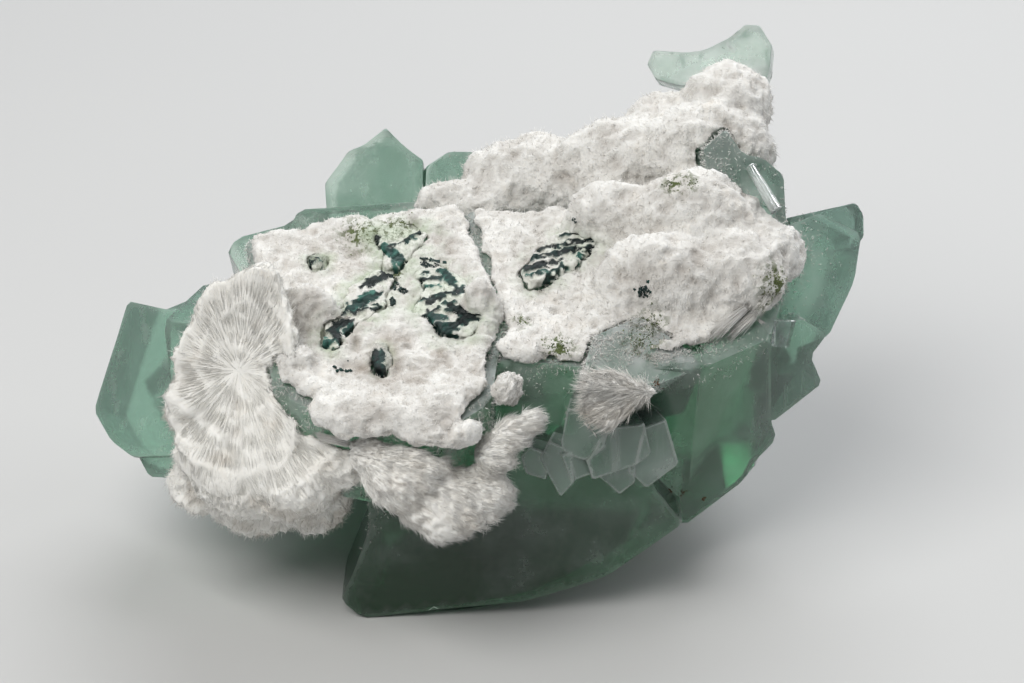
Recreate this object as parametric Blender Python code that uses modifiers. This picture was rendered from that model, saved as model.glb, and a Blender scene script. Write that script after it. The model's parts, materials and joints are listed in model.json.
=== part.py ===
"""Green apophyllite crystals under a crust and sprays of white mordenite, with dark celadonite in it.

The specimen stands as it lies on a table, on the cleaved flat under its largest crystals.
Places are in millimetres: +X to the right, +Y to the back, +Z up, seen from the front.
A face is given by its facing: degrees that it turns to the right, and degrees that it leans upwards.
"""

import math

import bmesh
import bpy
from mathutils import Matrix, Vector, noise

MM = 0.001

# Driving sizes: the gap between pieces, and the thickness of the white crust over the crystals
GAP = 0.35
CRUST = 2.8
PATCH_DEPTH = 1.3
FLOOR_SIZE = 140

# The two coated upper sides, as a point on each and its facing
ROOF = ((-9.0, -9.1, 30.4), (0, 75))
STEP = ((8.0, -4.0, 31.6), (4, 74))
CREST = ((25.0, 20.0, 47.0), (-10, 33))
CREST_DEPTH = 5

# The surface relief of the white crusts: height and width of each size of bump
COARSE_RELIEF = [(0.55, 6.0), (0.25, 2.0)]
FINE_RELIEF = [(0.3, 3.0), (0.2, 1.2)]


def clear_scene():
    for obj in list(bpy.data.objects):
        bpy.data.objects.remove(obj)


def collection(name):
    made = bpy.data.collections.new(name)
    bpy.context.scene.collection.children.link(made)
    return made


def material(name, colour, roughness, see_through=0.0):
    made = bpy.data.materials.new(name)
    made.use_nodes = True
    shader = made.node_tree.nodes["Principled BSDF"]
    shader.inputs["Base Color"].default_value = (*colour, 1)
    shader.inputs["Roughness"].default_value = roughness
    shader.inputs["Transmission Weight"].default_value = see_through
    shader.inputs["IOR"].default_value = 1.535
    made.diffuse_color = (*colour, 1)
    return made


def facing_matrix(at, facing, roll=0.0):
    """A frame at a place whose +Z looks straight out of the face, and whose +X runs level."""
    turn, lean = (math.radians(angle) for angle in facing)
    level = math.cos(lean)
    out = Vector((math.sin(turn) * level, -math.cos(turn) * level, math.sin(lean)))
    across = Vector((math.cos(turn), math.sin(turn), 0))
    axes = Matrix((across, out.cross(across), out)).transposed().to_4x4()
    spin = Matrix.Rotation(math.radians(roll), 4, "Z")
    return Matrix.Translation(Vector(at) * MM) @ axes @ spin


def add_object(name, mesh, where, group):
    obj = bpy.data.objects.new(name, mesh)
    obj.matrix_world = where
    group.objects.link(obj)
    return obj


def add_helper(name, mesh, where, helpers):
    obj = add_object(name, mesh, where, helpers)
    obj.hide_render = True
    obj.display_type = "WIRE"
    return obj


def applied(obj):
    """The object's mesh in world space with its modifiers. The object itself is removed."""
    bpy.context.view_layer.update()
    graph = bpy.context.evaluated_depsgraph_get()
    mesh = bpy.data.meshes.new_from_object(obj.evaluated_get(graph))
    mesh.transform(obj.matrix_world)
    bpy.data.objects.remove(obj)
    return mesh


def boolean(obj, other, operation, solver="EXACT"):
    step = obj.modifiers.new(f"{operation.lower()} {other.name}", "BOOLEAN")
    step.operation = operation
    step.solver = solver
    step.object = other


def grown_outline(outline, by):
    """The outline with every side moved outwards by the same distance."""
    grown = []
    for i, corner in enumerate(outline):
        here = Vector(corner)
        side_in = (here - Vector(outline[i - 1])).normalized()
        side_out = (Vector(outline[(i + 1) % len(outline)]) - here).normalized()
        out_in = Vector((side_in.y, -side_in.x))
        out_out = Vector((side_out.y, -side_out.x))
        grown.append(here + (out_in + out_out) * by / (1 + out_in.dot(out_out)))
    return grown


def slab(name, outline, depth, grow=0.0):
    """A flat outline, listed anticlockwise, with its face at z = 0 and its depth behind it."""
    curve = bpy.data.curves.new(name, "CURVE")
    curve.dimensions = "2D"
    curve.fill_mode = "BOTH"
    curve.extrude = (depth / 2 + grow) * MM
    spline = curve.splines.new("POLY")
    corners = grown_outline(outline, grow)
    spline.points.add(len(corners) - 1)
    for point, (x, y) in zip(spline.points, corners):
        point.co = (x * MM, y * MM, 0, 1)
    spline.use_cyclic_u = True
    mesh = applied(add_object(name, curve, Matrix.Identity(4), bpy.context.scene.collection))
    bpy.data.curves.remove(curve)
    mesh.transform(Matrix.Translation((0, 0, -depth / 2 * MM)))
    body = bmesh.new()
    body.from_mesh(mesh)
    bmesh.ops.remove_doubles(body, verts=body.verts, dist=1e-6)
    bmesh.ops.dissolve_limit(body, angle_limit=0.01, verts=body.verts, edges=body.edges)
    bmesh.ops.recalc_face_normals(body, faces=body.faces)
    body.to_mesh(mesh)
    body.free()
    return mesh


def box(width, height):
    """The outline of a square-cut crystal, about its centre."""
    x, y = width / 2, height / 2
    return [(-x, -y), (x, -y), (x, y), (-x, y)]


# Each crystal: name, place, facing, outline of its face, depth behind it, roll and corner cut
MAIN_BLOCKS = [
    ("front block", (0, -14.6, 11), (0, 6),
     [(-12, -11), (5, -9), (9.5, -7.5), (13.5, -6), (21, 0), (18, 4), (16.5, 10.5), (11.5, 15.5),
      (10, 17.5), (7.5, 18.5), (3.5, 18.5), (-8, 14), (-10, 1.5), (-14, -9)], 9, 0, 0.6),
    ("core block", (2, -8, 14), (4, 4),
     [(-11, -12), (13, -10), (18, -2), (14, 13), (-9, 13), (-12, 4)], 20, 0, 0),
    ("foot", (0, 0, 14), (0, 90),
     [(-11, -14.6), (-2, -14.2), (3, -13), (9, -10.5), (14, -7), (20, 0), (20, 14), (-3, 16), (-9.5, 2)],
     20, 0, 0),
    ("roof block", *ROOF,
     [(-8, -10.5), (0, -12.5), (5.5, -14), (10.5, -10), (12, 3), (8, 17.5), (3.5, 18), (-3, 16.5),
      (-9.5, 15), (-15, 13.5), (-13, 3), (-11, -7)], 12, 0, 0.9),
    ("step block", *STEP,
     [(-5.5, -8.5), (1.5, -10), (13.5, -11), (21, -7), (24, 1), (16, 9), (4.5, 12), (-8.5, 13)],
     20, 0, 0.8),
    ("right block", (24.1, -9.2, 18), (20, -10),
     [(-6, -5.5), (-2, -12), (4.5, -7), (5, -5), (7.5, -2), (6.5, 0.5), (5, 12), (-2.5, 9.5)],
     24, 0, 0.7),
    ("right step", (31, -6.3, 24), (25, 5),
     [(-5, -2), (-1, -5.5), (5, -2.5), (3.5, 1), (4.5, 2), (5.5, 3), (2.5, 5.5), (-5, 4.5)], 15, 0, 0.5),
    ("upper right block", (35, 0, 32), (25, 33),
     [(-9, -5), (-7, -5), (-0.5, -6.5), (4, -1.5), (6, 3), (2, 6), (-2, 5.5), (-9, 3)], 12, 0, 0.6),
]
TOP_CRYSTALS = [
    ("glassy tip", (38, 5, 35), (25, 33),
     [(-6, -2), (0.5, -2.5), (2, -1.5), (2.5, 0.5), (2, 2), (-6, 2)], 5, 0, 0.4),
    ("upper crystal", (28, 4, 41), (10, 34),
     [(-4.5, -9), (3, -9), (3.5, 0), (1.5, 2), (-0.5, 2.5), (-2, 5.2), (-4.5, 3.5)], 7, 0, 0.5),
    ("ridge crystal low", (21.5, 9, 35.2), (14, 60), box(13, 10), 12, -14, 1.2),
    ("ridge crystal high", (25.5, 15, 40.5), (10, 55), box(8, 8), 13, 18, 1.0),
]
BACK_CRYSTALS = [
    ("back peak", (-9, 18, 35), (0, 34),
     [(-7, -9), (3, -9), (3, 1), (1, 2.5), (-1, 4.5), (-3.5, 2.5), (-5, 2), (-7.5, -1.5)], 8, 0, 0.5),
    ("back shoulder", (-3, 18, 34), (8, 34),
     [(-4, -9), (7, -9), (5.5, 2.4), (0, 2.8), (-2.5, 1.4)], 8, 0, 0.5),
    ("back slab", (-17, 12, 32), (0, 50),
     [(-7, -8), (16, -8), (16.5, 2.5), (-2, 1.2), (-3, -0.5), (-8.5, -2), (-9.5, -3.5)], 15, 0, 0.6),
    ("back block left", (-8, 19, 18), (176, 6), box(20, 24), 16, 5, 1.4),
    ("back block right", (14, 21, 20.5), (192, -4), box(18, 24), 17, -7, 1.4),
    ("back corner", (25, 13, 26), (140, 12), box(13, 14), 14, 12, 1.0),
    ("back step", (2, 23.5, 13), (170, -8), box(11, 12), 9, 24, 0.9),
]
LEFT_CRYSTALS = [
    ("left block", (-33, -3.1, 20), (-28, 34),
     [(-7, -4), (-4, -6.5), (-1, -7.5), (4, -6), (4, 8.5), (-6.5, 8)], 11, 0, 0.5),
    ("left low", (-30, -7, 12), (-18, 12),
     [(-6.5, 4.5), (-6, 1.5), (-4.5, -1), (0, -0.5), (2.5, 4.5), (-2.5, 5.5)], 9, 0, 0.4),
    ("left link", (-24.5, -5.5, 20), (-16, 8), box(15, 17), 12, 6, 1.0),
    ("left rear", (-29, 9, 19), (205, 10), box(12, 13), 12, -14, 0.9),
]
PERCHED_CRYSTALS = [
    ("pale block", (17, -12, 30), (12, 50),
     [(-6.5, -1), (-5.5, -4), (-0.5, -4), (5, -2.5), (4, -0.5), (0, 3.5), (-5, 2)], 9, 0, 0.5),
    ("square crystal", (11.5, -16.5, 22), (-8, 8),
     [(-3, -0.5), (-2.5, -1.5), (-0.5, -2), (1.2, -0.5), (2, 3), (-2.5, 3.4)], 6, 0, 0.3),
    ("lower square crystal", (15.5, -16, 20), (14, 5),
     [(-4.5, 0), (-4, -2), (0.5, -1), (2, 0), (1.4, 3.4), (-2.4, 3.4)], 6, 0, 0.3),
    ("right square crystal", (19, -14, 18), (24, 0),
     [(-4, 0), (-2, -2.5), (1.5, -0.5), (0, 5), (-3.5, 4.5)], 6, 0, 0.3),
    ("left square crystal", (9.5, -16.5, 18.5), (-15, 5),
     [(-3.2, 1), (-1, -3), (0.4, -1), (-0.4, 2.4), (-2.4, 3)], 5, 0, 0.3),
    ("inner square crystal", (11.5, -16.0, 18.5), (15, 5),
     [(-3, 2), (-2, -1), (0, -0.5), (0, 2.4)], 5, 0, 0.2),
    ("lowest square crystal", (14.5, -15.6, 17), (8, -10),
     [(-2.5, 1), (0, -2), (1.5, -0.5), (1.4, 2), (-2, 2.4)], 5, 0, 0.2),
    ("small plate", (6, -15.4, 19), (-10, 0),
     [(-1.5, 0.5), (-1, -1.5), (1, -2), (1.4, 1), (-0.6, 1.6)], 4, 0, 0.2),
    ("clear chip", (-2.4, -19.4, 24.4), (-5, 10), box(2.8, 2.8), 5, 12, 0.3),
]
CLUSTER = [*MAIN_BLOCKS, *TOP_CRYSTALS, *BACK_CRYSTALS, *LEFT_CRYSTALS, *PERCHED_CRYSTALS]
CREST_OUTLINE = [
    (-7, -1), (-6, -2.5), (-3.5, -3), (5.5, -3), (6, -0.5), (6, 2), (4.5, 4),
    (3, 4), (1.5, 2.5), (-1, 1), (-3, 0.5), (-6.5, 0.5),
]


def crystal(name, at, facing, outline, depth, roll, corner, helpers, grow=0.0):
    """A block crystal: its face's outline, its depth behind that, and small faces on its corners."""
    mesh = slab(name, outline, depth, grow)
    obj = add_helper(name, mesh, facing_matrix(at, facing, roll), helpers)
    if corner:
        cut = obj.modifiers.new("corner faces", "BEVEL")
        cut.affect = "VERTICES"
        cut.width = corner * MM
        cut.segments = 1
    return obj


def below_floor(helpers):
    """Everything under the cleaved flat that the specimen stands on."""
    mesh = slab("below the floor", box(FLOOR_SIZE, FLOOR_SIZE), FLOOR_SIZE)
    return add_helper("below the floor", mesh, Matrix.Identity(4), helpers)


def joined_crystals(name, helpers, grow=0.0):
    """The crystals that have grown into each other, as one solid cut flat underneath."""
    first, *others = [crystal(*row, helpers, grow) for row in CLUSTER]
    for other in others:
        boolean(first, other, "UNION")
    boolean(first, below_floor(helpers), "DIFFERENCE")
    mesh = largest_part(applied(first))
    mesh.name = name
    return mesh


def lump(body, at, radii, roll=0.0):
    """Adds a rounded lump, a stretched ball, to the bmesh."""
    size = Matrix.Diagonal((*(radius * MM for radius in radii), 1))
    where = facing_matrix(at, (0, 0), roll) @ size
    bmesh.ops.create_icosphere(body, subdivisions=3, radius=1, matrix=where)


def sheet(body, place, outline, thickness):
    """Adds a flat sheet of crust to the bmesh, half of it sunk in the face that it covers."""
    mesh = slab("sheet", outline, thickness)
    lift = Matrix.Translation((0, 0, thickness / 2 * MM))
    mesh.transform(facing_matrix(*place) @ lift)
    body.from_mesh(mesh)
    bpy.data.meshes.remove(mesh)


def rim_radius(rim, angle):
    """The rim's radius at an angle, eased between the radii that are listed."""
    turned = [*rim, (rim[0][0] + 360, rim[0][1])]
    for (low, before), (high, after) in zip(turned, turned[1:]):
        if low <= angle <= high:
            share = (angle - low) / (high - low)
            return before + (after - before) * share * share * (3 - 2 * share)
    return rim[0][1]


def spray(body, place, rim, cup, depth, pleats=9):
    """Adds a sunburst of fibres: a dish with an uneven rim, pleated in front and round behind."""
    made = bmesh.ops.create_uvsphere(body, u_segments=48, v_segments=14, radius=1)
    where = facing_matrix(*place)
    for vertex in made["verts"]:
        x, y, z = vertex.co
        out = min(1.0, math.hypot(x, y))
        angle = math.degrees(math.atan2(y, x)) % 360
        reach = rim_radius(rim, angle)
        height = -depth * abs(z)
        if z > 0.01:
            height = cup * (out**2 - 1) + 0.35 * math.sin(math.radians(angle) * pleats) * out
        vertex.co = where @ (Vector((x * reach, y * reach, height)) * MM)


def add_relief(mesh, height, width, seed):
    """Moves each point in or out by smooth noise of this height and width."""
    offset = Vector((seed * 3.7, seed * 1.3, seed * 2.1))
    normals = [vertex.normal.copy() for vertex in mesh.vertices]
    for vertex, normal in zip(mesh.vertices, normals):
        bump = noise.fractal(vertex.co / (width * MM) + offset, 0.6, 2.0, 3)
        vertex.co += normal * bump * height * MM
    mesh.update()


def connected_parts(body):
    left = set(body.verts)
    parts = []
    while left:
        queue = [left.pop()]
        part = set(queue)
        while queue:
            for edge in queue.pop().link_edges:
                fresh = [v for v in edge.verts if v in left]
                left.difference_update(fresh)
                part.update(fresh)
                queue.extend(fresh)
        parts.append(part)
    return parts


def largest_part(mesh):
    """Keeps the outer skin of the largest part. It drops crumbs, and fills holes that are shut in."""
    body = bmesh.new()
    body.from_mesh(mesh)
    bmesh.ops.remove_doubles(body, verts=body.verts, dist=2e-6)
    keep = max(connected_parts(body), key=len)
    bmesh.ops.delete(body, geom=[v for v in body.verts if v not in keep], context="VERTS")
    body.to_mesh(mesh)
    body.free()
    return mesh


def fused(name, body, helpers, voxel):
    """The bmesh's overlapping lumps as one skin."""
    mesh = bpy.data.meshes.new(name)
    body.to_mesh(mesh)
    body.free()
    obj = add_helper(name, mesh, Matrix.Identity(4), helpers)
    fuse = obj.modifiers.new("fuse", "REMESH")
    fuse.mode = "VOXEL"
    fuse.voxel_size = voxel * MM
    return applied(obj)


def crust(name, body, helpers, voxel, relief, triangles, rooms):
    """Fuses lumps into one crust, roughens it, and cuts out the room of what it has grown on."""
    mesh = fused(name, body, helpers, voxel)
    for seed, (height, width) in enumerate(relief):
        add_relief(mesh, height, width, seed)
    obj = add_helper(name, mesh, Matrix.Identity(4), helpers)
    lighten = obj.modifiers.new("lighten", "DECIMATE")
    lighten.ratio = min(1.0, triangles / (2 * len(mesh.polygons)))
    for room in rooms:
        boolean(obj, room, "DIFFERENCE", "MANIFOLD")
    return largest_part(applied(obj))


def room_of(node, helpers):
    """A crust that is larger by the gap all round, to cut its neighbours with."""
    mesh = node.data.copy()
    normals = [vertex.normal.copy() for vertex in mesh.vertices]
    for vertex, normal in zip(mesh.vertices, normals):
        vertex.co += normal * GAP * MM
    mesh.update()
    return add_helper(f"{node.name} room", mesh, Matrix.Identity(4), helpers)


ROOF_CRUST_OUTLINE = [
    (-8, -9), (0, -11.5), (5, -12.8), (9.6, -9.6), (11.2, 3), (7.4, 17), (3.5, 17.3), (-3, 15.8),
    (-9.5, 14.4), (-14.2, 12.8), (-12.6, 3), (-10.6, -6.5),
]
ROOF_LUMPS = [
    ((-10, -20, 27.4), (6.5, 2.2, 2.6)),
    ((-3.4, -21, 26.2), (4.5, 1.8, 2.6)),
    ((-17, -9, 30.4), (3.4, 5, 1.6)),
    ((-17.4, -14.5, 28.4), (2.4, 3.4, 1.5)),
    ((0.5, -8, 31.0), (2.2, 5, 1.2)),
]
STEP_CRUST_OUTLINE = [
    (-4.6, -8), (1.5, -9.6), (9, -9.5), (14, -8), (18, -5), (21.5, 1), (15.5, 8.5),
    (4.5, 11.5), (-7.6, 12.2),
]
STEP_LUMPS = [
    ((4.5, -12.2, 30.0), (3.0, 1.6, 1.4)),
    ((19.0, -4.5, 33.0), (7.5, 6.0, 3.6)),
    ((26.0, -3.5, 33.6), (6.0, 5.0, 3.6)),
    ((22.0, 2.0, 36.6), (7.5, 6.0, 4.4)),
    ((24.0, 10.5, 40.6), (7.0, 5.6, 4.8)),
    ((26.0, 15.0, 43.6), (5.2, 5.0, 4.4)),
    ((15.5, 12.0, 37.0), (8.0, 6.6, 4.6)),
    ((20.0, 15.5, 41.0), (4.6, 4.4, 3.8)),
    ((6.0, 14.0, 34.8), (8.5, 5.5, 4.0)),
    ((14.5, 3.5, 34.8), (6.0, 6.0, 2.6)),
    ((-1.0, 11.0, 33.6), (6.0, 4.0, 2.4)),
    ((30.0, -0.5, 34.2), (3.8, 4.0, 3.2)),
    ((13.5, 18.0, 35.6), (4.5, 3.5, 3.4)),
]
SPRAY_PLACE = ((-23.3, -15.6, 28.4), (-20, 24))
SPRAY_RIM = [
    (0, 6.5), (30, 6.0), (60, 8.5), (85, 12.0), (110, 10.5), (140, 8.5),
    (170, 7.5), (200, 8.0), (235, 10.0), (270, 9.5), (310, 9.0), (340, 7.5),
]
SPRAY_LUMPS = [
    ((-27.2, -12.5, 18.5), (3.0, 3.0, 5.6)),
    ((-23.0, -15.0, 17.4), (5.5, 4.5, 4.8)),
    ((-18.0, -16.6, 18.3), (5.0, 4.5, 5.2)),
    ((-22.5, -12.5, 13.8), (5.0, 5.0, 4.0)),
    ((-17.0, -13.5, 14.2), (4.4, 4.4, 4.0)),
    ((-15.6, -16.0, 22.6), (3.6, 3.6, 3.4)),
    ((-13.6, -18.2, 20.8), (3.2, 2.6, 2.4)),
    ((-29.8, -11.0, 22.5), (1.5, 1.8, 3.4)),
    ((-28.0, -11.5, 14.4), (3.6, 3.6, 3.0)),
]
PUFF_LUMPS = [
    ((-6.6, -21.6, 21.2), (4.4, 3.6, 3.4)),
    ((-3.2, -22.0, 18.2), (4.4, 3.4, 3.6)),
    ((0.4, -20.8, 18.8), (3.2, 2.6, 3.0)),
    ((-10.4, -20.6, 23.2), (2.0, 2.0, 1.4)),
    ((2.0, -20.2, 22.8), (2.0, 2.0, 2.2)),
    ((3.6, -19.6, 24.8), (2.0, 1.8, 1.7)),
    ((5.4, -19.2, 26.2), (1.5, 1.3, 1.0)),
]
TUFT_PLACE = ((15.9, -17.6, 28.2), (6, 14))
TUFT_RIM = [(0, 0.8), (70, 1.2), (120, 2.6), (160, 5.2), (195, 5.6), (235, 4.0), (290, 1.0)]
TUFT_ROOT = ((15.6, -16.4, 27.4), (2.0, 2.2, 1.6))
NUB_LUMPS = [((2.9, -18.6, 29.3), (1.3, 1.5, 1.8)), ((3.4, -17.4, 28.6), (1.2, 1.8, 1.4))]

# Each patch of celadonite: name, the side that it shows on, and its outline there
CELADONITE = [
    ("celadonite_vein", ROOF,
     [(-0.4, 7.8), (0.8, 7.6), (1.8, 9), (3.6, 12.6), (2, 14), (-0.4, 13.8), (-1.4, 12), (-0.2, 10)]),
    ("celadonite_arm", ROOF,
     [(-6, -3.2), (-4.8, -3.6), (-3.2, -0.6), (-0.6, 1.6), (0, 4.4), (0.6, 6.4), (-1, 7.2),
      (-2.6, 5.6), (-3.8, 4.4), (-4, 2), (-5.8, 0.2)]),
    ("celadonite_lobes", ROOF,
     [(3, 1.4), (5.2, -0.6), (5.8, -1.8), (8.4, -1.8), (9.4, 0.4), (8.2, 3.2), (7.6, 5.6),
      (5.2, 7.8), (3.2, 6.8), (4, 4.2)]),
    ("celadonite_bean", ROOF,
     [(-1.2, -4.4), (-0.8, -6.8), (0, -7), (0.5, -5.2), (0, -3.6), (-0.8, -3.6)]),
    ("celadonite_speck", ROOF,
     [(-8, 8.8), (-7.6, 7.7), (-6.8, 7.9), (-6.5, 9.1), (-7.4, 9.5)]),
    ("celadonite_blade", STEP,
     [(-3.2, 2), (-2.6, 0.4), (0.2, 1.6), (3.2, 4), (5.2, 6.4), (4, 7.8), (1, 7.2), (-1.2, 5.2)]),
    ("celadonite_chip", STEP,
     [(8, -1.8), (8.8, -3), (9.6, -2.2), (10, -0.2), (9.2, 0.4), (8.3, -0.4)]),
]
PATCH_LEVEL = {ROOF: 1.7, STEP: 1.9}


def patch(name, place, outline, grow=0.0):
    """A patch of celadonite let into the crust, with its face a little below the crust's top."""
    mesh = slab(name, outline, PATCH_DEPTH, grow)
    level = Matrix.Translation((0, 0, PATCH_LEVEL[place] * MM))
    mesh.transform(facing_matrix(*place) @ level)
    return mesh


def lumps(rows):
    body = bmesh.new()
    for at, radii in rows:
        lump(body, at, radii)
    return body


def roof_body():
    body = lumps(ROOF_LUMPS)
    sheet(body, ROOF, ROOF_CRUST_OUTLINE, CRUST)
    return body


def step_body():
    body = lumps(STEP_LUMPS)
    sheet(body, STEP, STEP_CRUST_OUTLINE, CRUST)
    return body


def spray_body():
    body = lumps(SPRAY_LUMPS)
    spray(body, SPRAY_PLACE, SPRAY_RIM, 2.0, 6.0)
    return body


def tuft_body():
    body = lumps([TUFT_ROOT])
    spray(body, TUFT_PLACE, TUFT_RIM, 0.4, 1.8, pleats=7)
    return body


def add_node(name, mesh, skin, group):
    mesh.name = name
    mesh.materials.clear()
    mesh.materials.append(skin)
    return add_object(name, mesh, Matrix.Identity(4), group)


def stand_on_origin(nodes):
    """Moves everything so that the origin is on the floor, under the middle of the specimen."""
    points = [vertex.co for node in nodes for vertex in node.data.vertices]
    low = Vector(min(point[axis] for point in points) for axis in range(3))
    high = Vector(max(point[axis] for point in points) for axis in range(3))
    middle = (low + high) / 2
    move = Matrix.Translation((-middle.x, -middle.y, -low.z))
    for node in nodes:
        node.data.transform(move)
    print("moved to the origin, mm:", *(round(x / MM, 3) for x in move.translation))


def build_crystals(parts, helpers):
    """The green crystals, and the room that the crusts leave for them."""
    green = material("green apophyllite", (0.16, 0.36, 0.24), 0.15, 0.8)
    frosted = material("frosted apophyllite", (0.55, 0.70, 0.64), 0.3, 0.5)
    cluster = add_node("apophyllite_cluster", joined_crystals("cluster", helpers), green, parts)
    crest_row = ("crest", *CREST, CREST_OUTLINE, CREST_DEPTH, 0, 0.35)
    crest = add_node("apophyllite_crest", applied(crystal(*crest_row, helpers)), frosted, parts)
    room = joined_crystals("cluster room", helpers, GAP)
    cluster_room = add_helper("cluster room", room, Matrix.Identity(4), helpers)
    crest_room = crystal(*crest_row, helpers, GAP)
    return [cluster, crest], cluster_room, crest_room


def build_celadonite(parts, helpers):
    teal = material("celadonite", (0.02, 0.13, 0.11), 0.7)
    nodes = []
    rooms = []
    for name, place, outline in CELADONITE:
        nodes.append(add_node(name, patch(name, place, outline), teal, parts))
        room = patch(f"{name} room", place, outline, GAP)
        rooms.append(add_helper(room.name, room, Matrix.Identity(4), helpers))
    return nodes, rooms


def build_mordenite(parts, helpers, cluster_room, crest_room, patch_rooms):
    """The white crusts and sprays, each cut clear of the pieces that were there before it."""
    white = material("mordenite", (0.88, 0.87, 0.84), 0.85)
    rows = [
        ("mordenite_roof_crust", roof_body(), 0.7, COARSE_RELIEF, 1700, patch_rooms),
        ("mordenite_ridge_crust", step_body(), 0.7, COARSE_RELIEF, 2000, [crest_room, *patch_rooms]),
        ("mordenite_spray", spray_body(), 0.6, FINE_RELIEF, 1700, []),
        ("mordenite_puff", lumps(PUFF_LUMPS), 0.5, FINE_RELIEF, 900, []),
        ("mordenite_tuft", tuft_body(), 0.35, FINE_RELIEF[1:], 450, []),
        ("mordenite_nub", lumps(NUB_LUMPS), 0.35, FINE_RELIEF[1:], 200, []),
    ]
    nodes = []
    rooms = [cluster_room]
    for name, body, voxel, relief, triangles, more_rooms in rows:
        mesh = crust(name, body, helpers, voxel, relief, triangles, [*rooms, *more_rooms])
        nodes.append(add_node(name, mesh, white, parts))
        rooms.append(room_of(nodes[-1], helpers))
    return nodes


def main():
    clear_scene()
    parts = collection("apophyllite with mordenite")
    helpers = collection("cutters")
    crystals, cluster_room, crest_room = build_crystals(parts, helpers)
    patches, patch_rooms = build_celadonite(parts, helpers)
    crusts = build_mordenite(parts, helpers, cluster_room, crest_room, patch_rooms)
    stand_on_origin([*crystals, *patches, *crusts])
    for helper in list(helpers.objects):
        bpy.data.objects.remove(helper)


main()
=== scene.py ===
# %% [markdown]
# # Apophyllite with mordenite
# A mineral specimen: block-shaped green apophyllite crystals that have grown into each other, a crust and
# sprays of white mordenite fibres over them, and small patches of dark blue-green celadonite in the crust.
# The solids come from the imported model. This file gives them their looks: clear green crystal, thousands
# of fine fibres, and folded dark patches. Lengths are in millimetres until a mesh is made.

# %% Load the fixed frame
import json
import math

import bmesh
import bpy
import numpy as np
from mathutils import Matrix, Vector
from mathutils.bvhtree import BVHTree
from mathutils.kdtree import KDTree

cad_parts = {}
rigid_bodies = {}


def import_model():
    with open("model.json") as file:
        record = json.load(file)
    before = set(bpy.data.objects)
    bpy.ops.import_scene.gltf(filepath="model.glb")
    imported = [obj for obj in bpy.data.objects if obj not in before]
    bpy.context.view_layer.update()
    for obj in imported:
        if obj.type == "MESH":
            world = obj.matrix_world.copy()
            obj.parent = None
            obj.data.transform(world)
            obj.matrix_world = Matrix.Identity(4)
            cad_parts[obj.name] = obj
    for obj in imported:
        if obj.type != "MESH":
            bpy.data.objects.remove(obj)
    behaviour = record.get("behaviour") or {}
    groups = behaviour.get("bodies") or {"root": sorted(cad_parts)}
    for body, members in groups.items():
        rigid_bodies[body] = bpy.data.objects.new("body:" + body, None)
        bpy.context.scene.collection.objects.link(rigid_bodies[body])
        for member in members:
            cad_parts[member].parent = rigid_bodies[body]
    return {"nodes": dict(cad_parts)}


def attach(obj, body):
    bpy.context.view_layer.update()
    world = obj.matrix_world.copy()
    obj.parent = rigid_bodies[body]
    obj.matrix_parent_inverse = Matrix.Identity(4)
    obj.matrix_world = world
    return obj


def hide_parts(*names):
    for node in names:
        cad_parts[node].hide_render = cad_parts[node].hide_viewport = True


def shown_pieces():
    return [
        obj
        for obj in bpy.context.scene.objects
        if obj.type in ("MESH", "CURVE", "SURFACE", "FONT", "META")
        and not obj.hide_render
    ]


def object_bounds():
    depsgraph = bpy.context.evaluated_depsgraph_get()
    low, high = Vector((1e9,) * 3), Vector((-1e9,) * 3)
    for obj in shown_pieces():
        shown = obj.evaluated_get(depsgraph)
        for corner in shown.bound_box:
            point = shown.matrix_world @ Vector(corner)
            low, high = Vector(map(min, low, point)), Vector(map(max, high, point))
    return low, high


for left_over in list(bpy.data.objects):
    bpy.data.objects.remove(left_over)
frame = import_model()
CAD_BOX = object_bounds()
MM = 0.001
# The part's source is laid out about another origin; this moves its places into the frame
LAYOUT_SHIFT = Vector((-0.038, -0.653, 0))
# Every mesh stays this far inside the solids' own box, and on the floor below
BOX_MARGIN = 0.03
LOW = np.array([list(CAD_BOX[0]), list(CAD_BOX[1])]).min(axis=0) / MM + BOX_MARGIN
HIGH = np.array([list(CAD_BOX[0]), list(CAD_BOX[1])]).max(axis=0) / MM - BOX_MARGIN
LOW[2] = 0.0
print("nodes:", sorted(frame["nodes"]))
print("room in mm:", LOW.round(2), HIGH.round(2))

# %% [markdown]
# ## Camera, floor and light
# The photograph looks down on the specimen by about thirty degrees through a long lens. A large soft panel
# above the left front shows the relief of the white crust and leaves the crystals' lower faces deep green.
# A panel behind shines through the edges of the crystals, and a small one draws their right rim.

# %% Camera
VIEW_TARGET = Vector((3.562, -0.653, 24.0)) * MM
VIEW_DISTANCE = 296 * MM
VIEW_HEIGHT_ANGLE = math.radians(30)


def add_camera():
    data = bpy.data.cameras.new("camera")
    data.lens = 100
    data.sensor_width = 36
    data.clip_start = 0.01
    camera = bpy.data.objects.new("camera", data)
    back = Vector((0, -math.cos(VIEW_HEIGHT_ANGLE), math.sin(VIEW_HEIGHT_ANGLE)))
    camera.location = VIEW_TARGET + back * VIEW_DISTANCE
    camera.rotation_euler = (math.radians(90) - VIEW_HEIGHT_ANGLE, 0, 0)
    bpy.context.scene.collection.objects.link(camera)
    bpy.context.scene.camera = camera


add_camera()
print("camera at", bpy.context.scene.camera.location)


# %% Soft light
def add_panel(name, place, aim, size, power, colour):
    data = bpy.data.lights.new(name, "AREA")
    data.shape = "RECTANGLE"
    data.size, data.size_y = size
    data.energy = power
    data.color = colour
    panel = bpy.data.objects.new(name, data)
    panel.location = place
    panel.rotation_euler = (Vector(aim) - Vector(place)).to_track_quat("-Z", "Y").to_euler()
    bpy.context.scene.collection.objects.link(panel)


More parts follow.
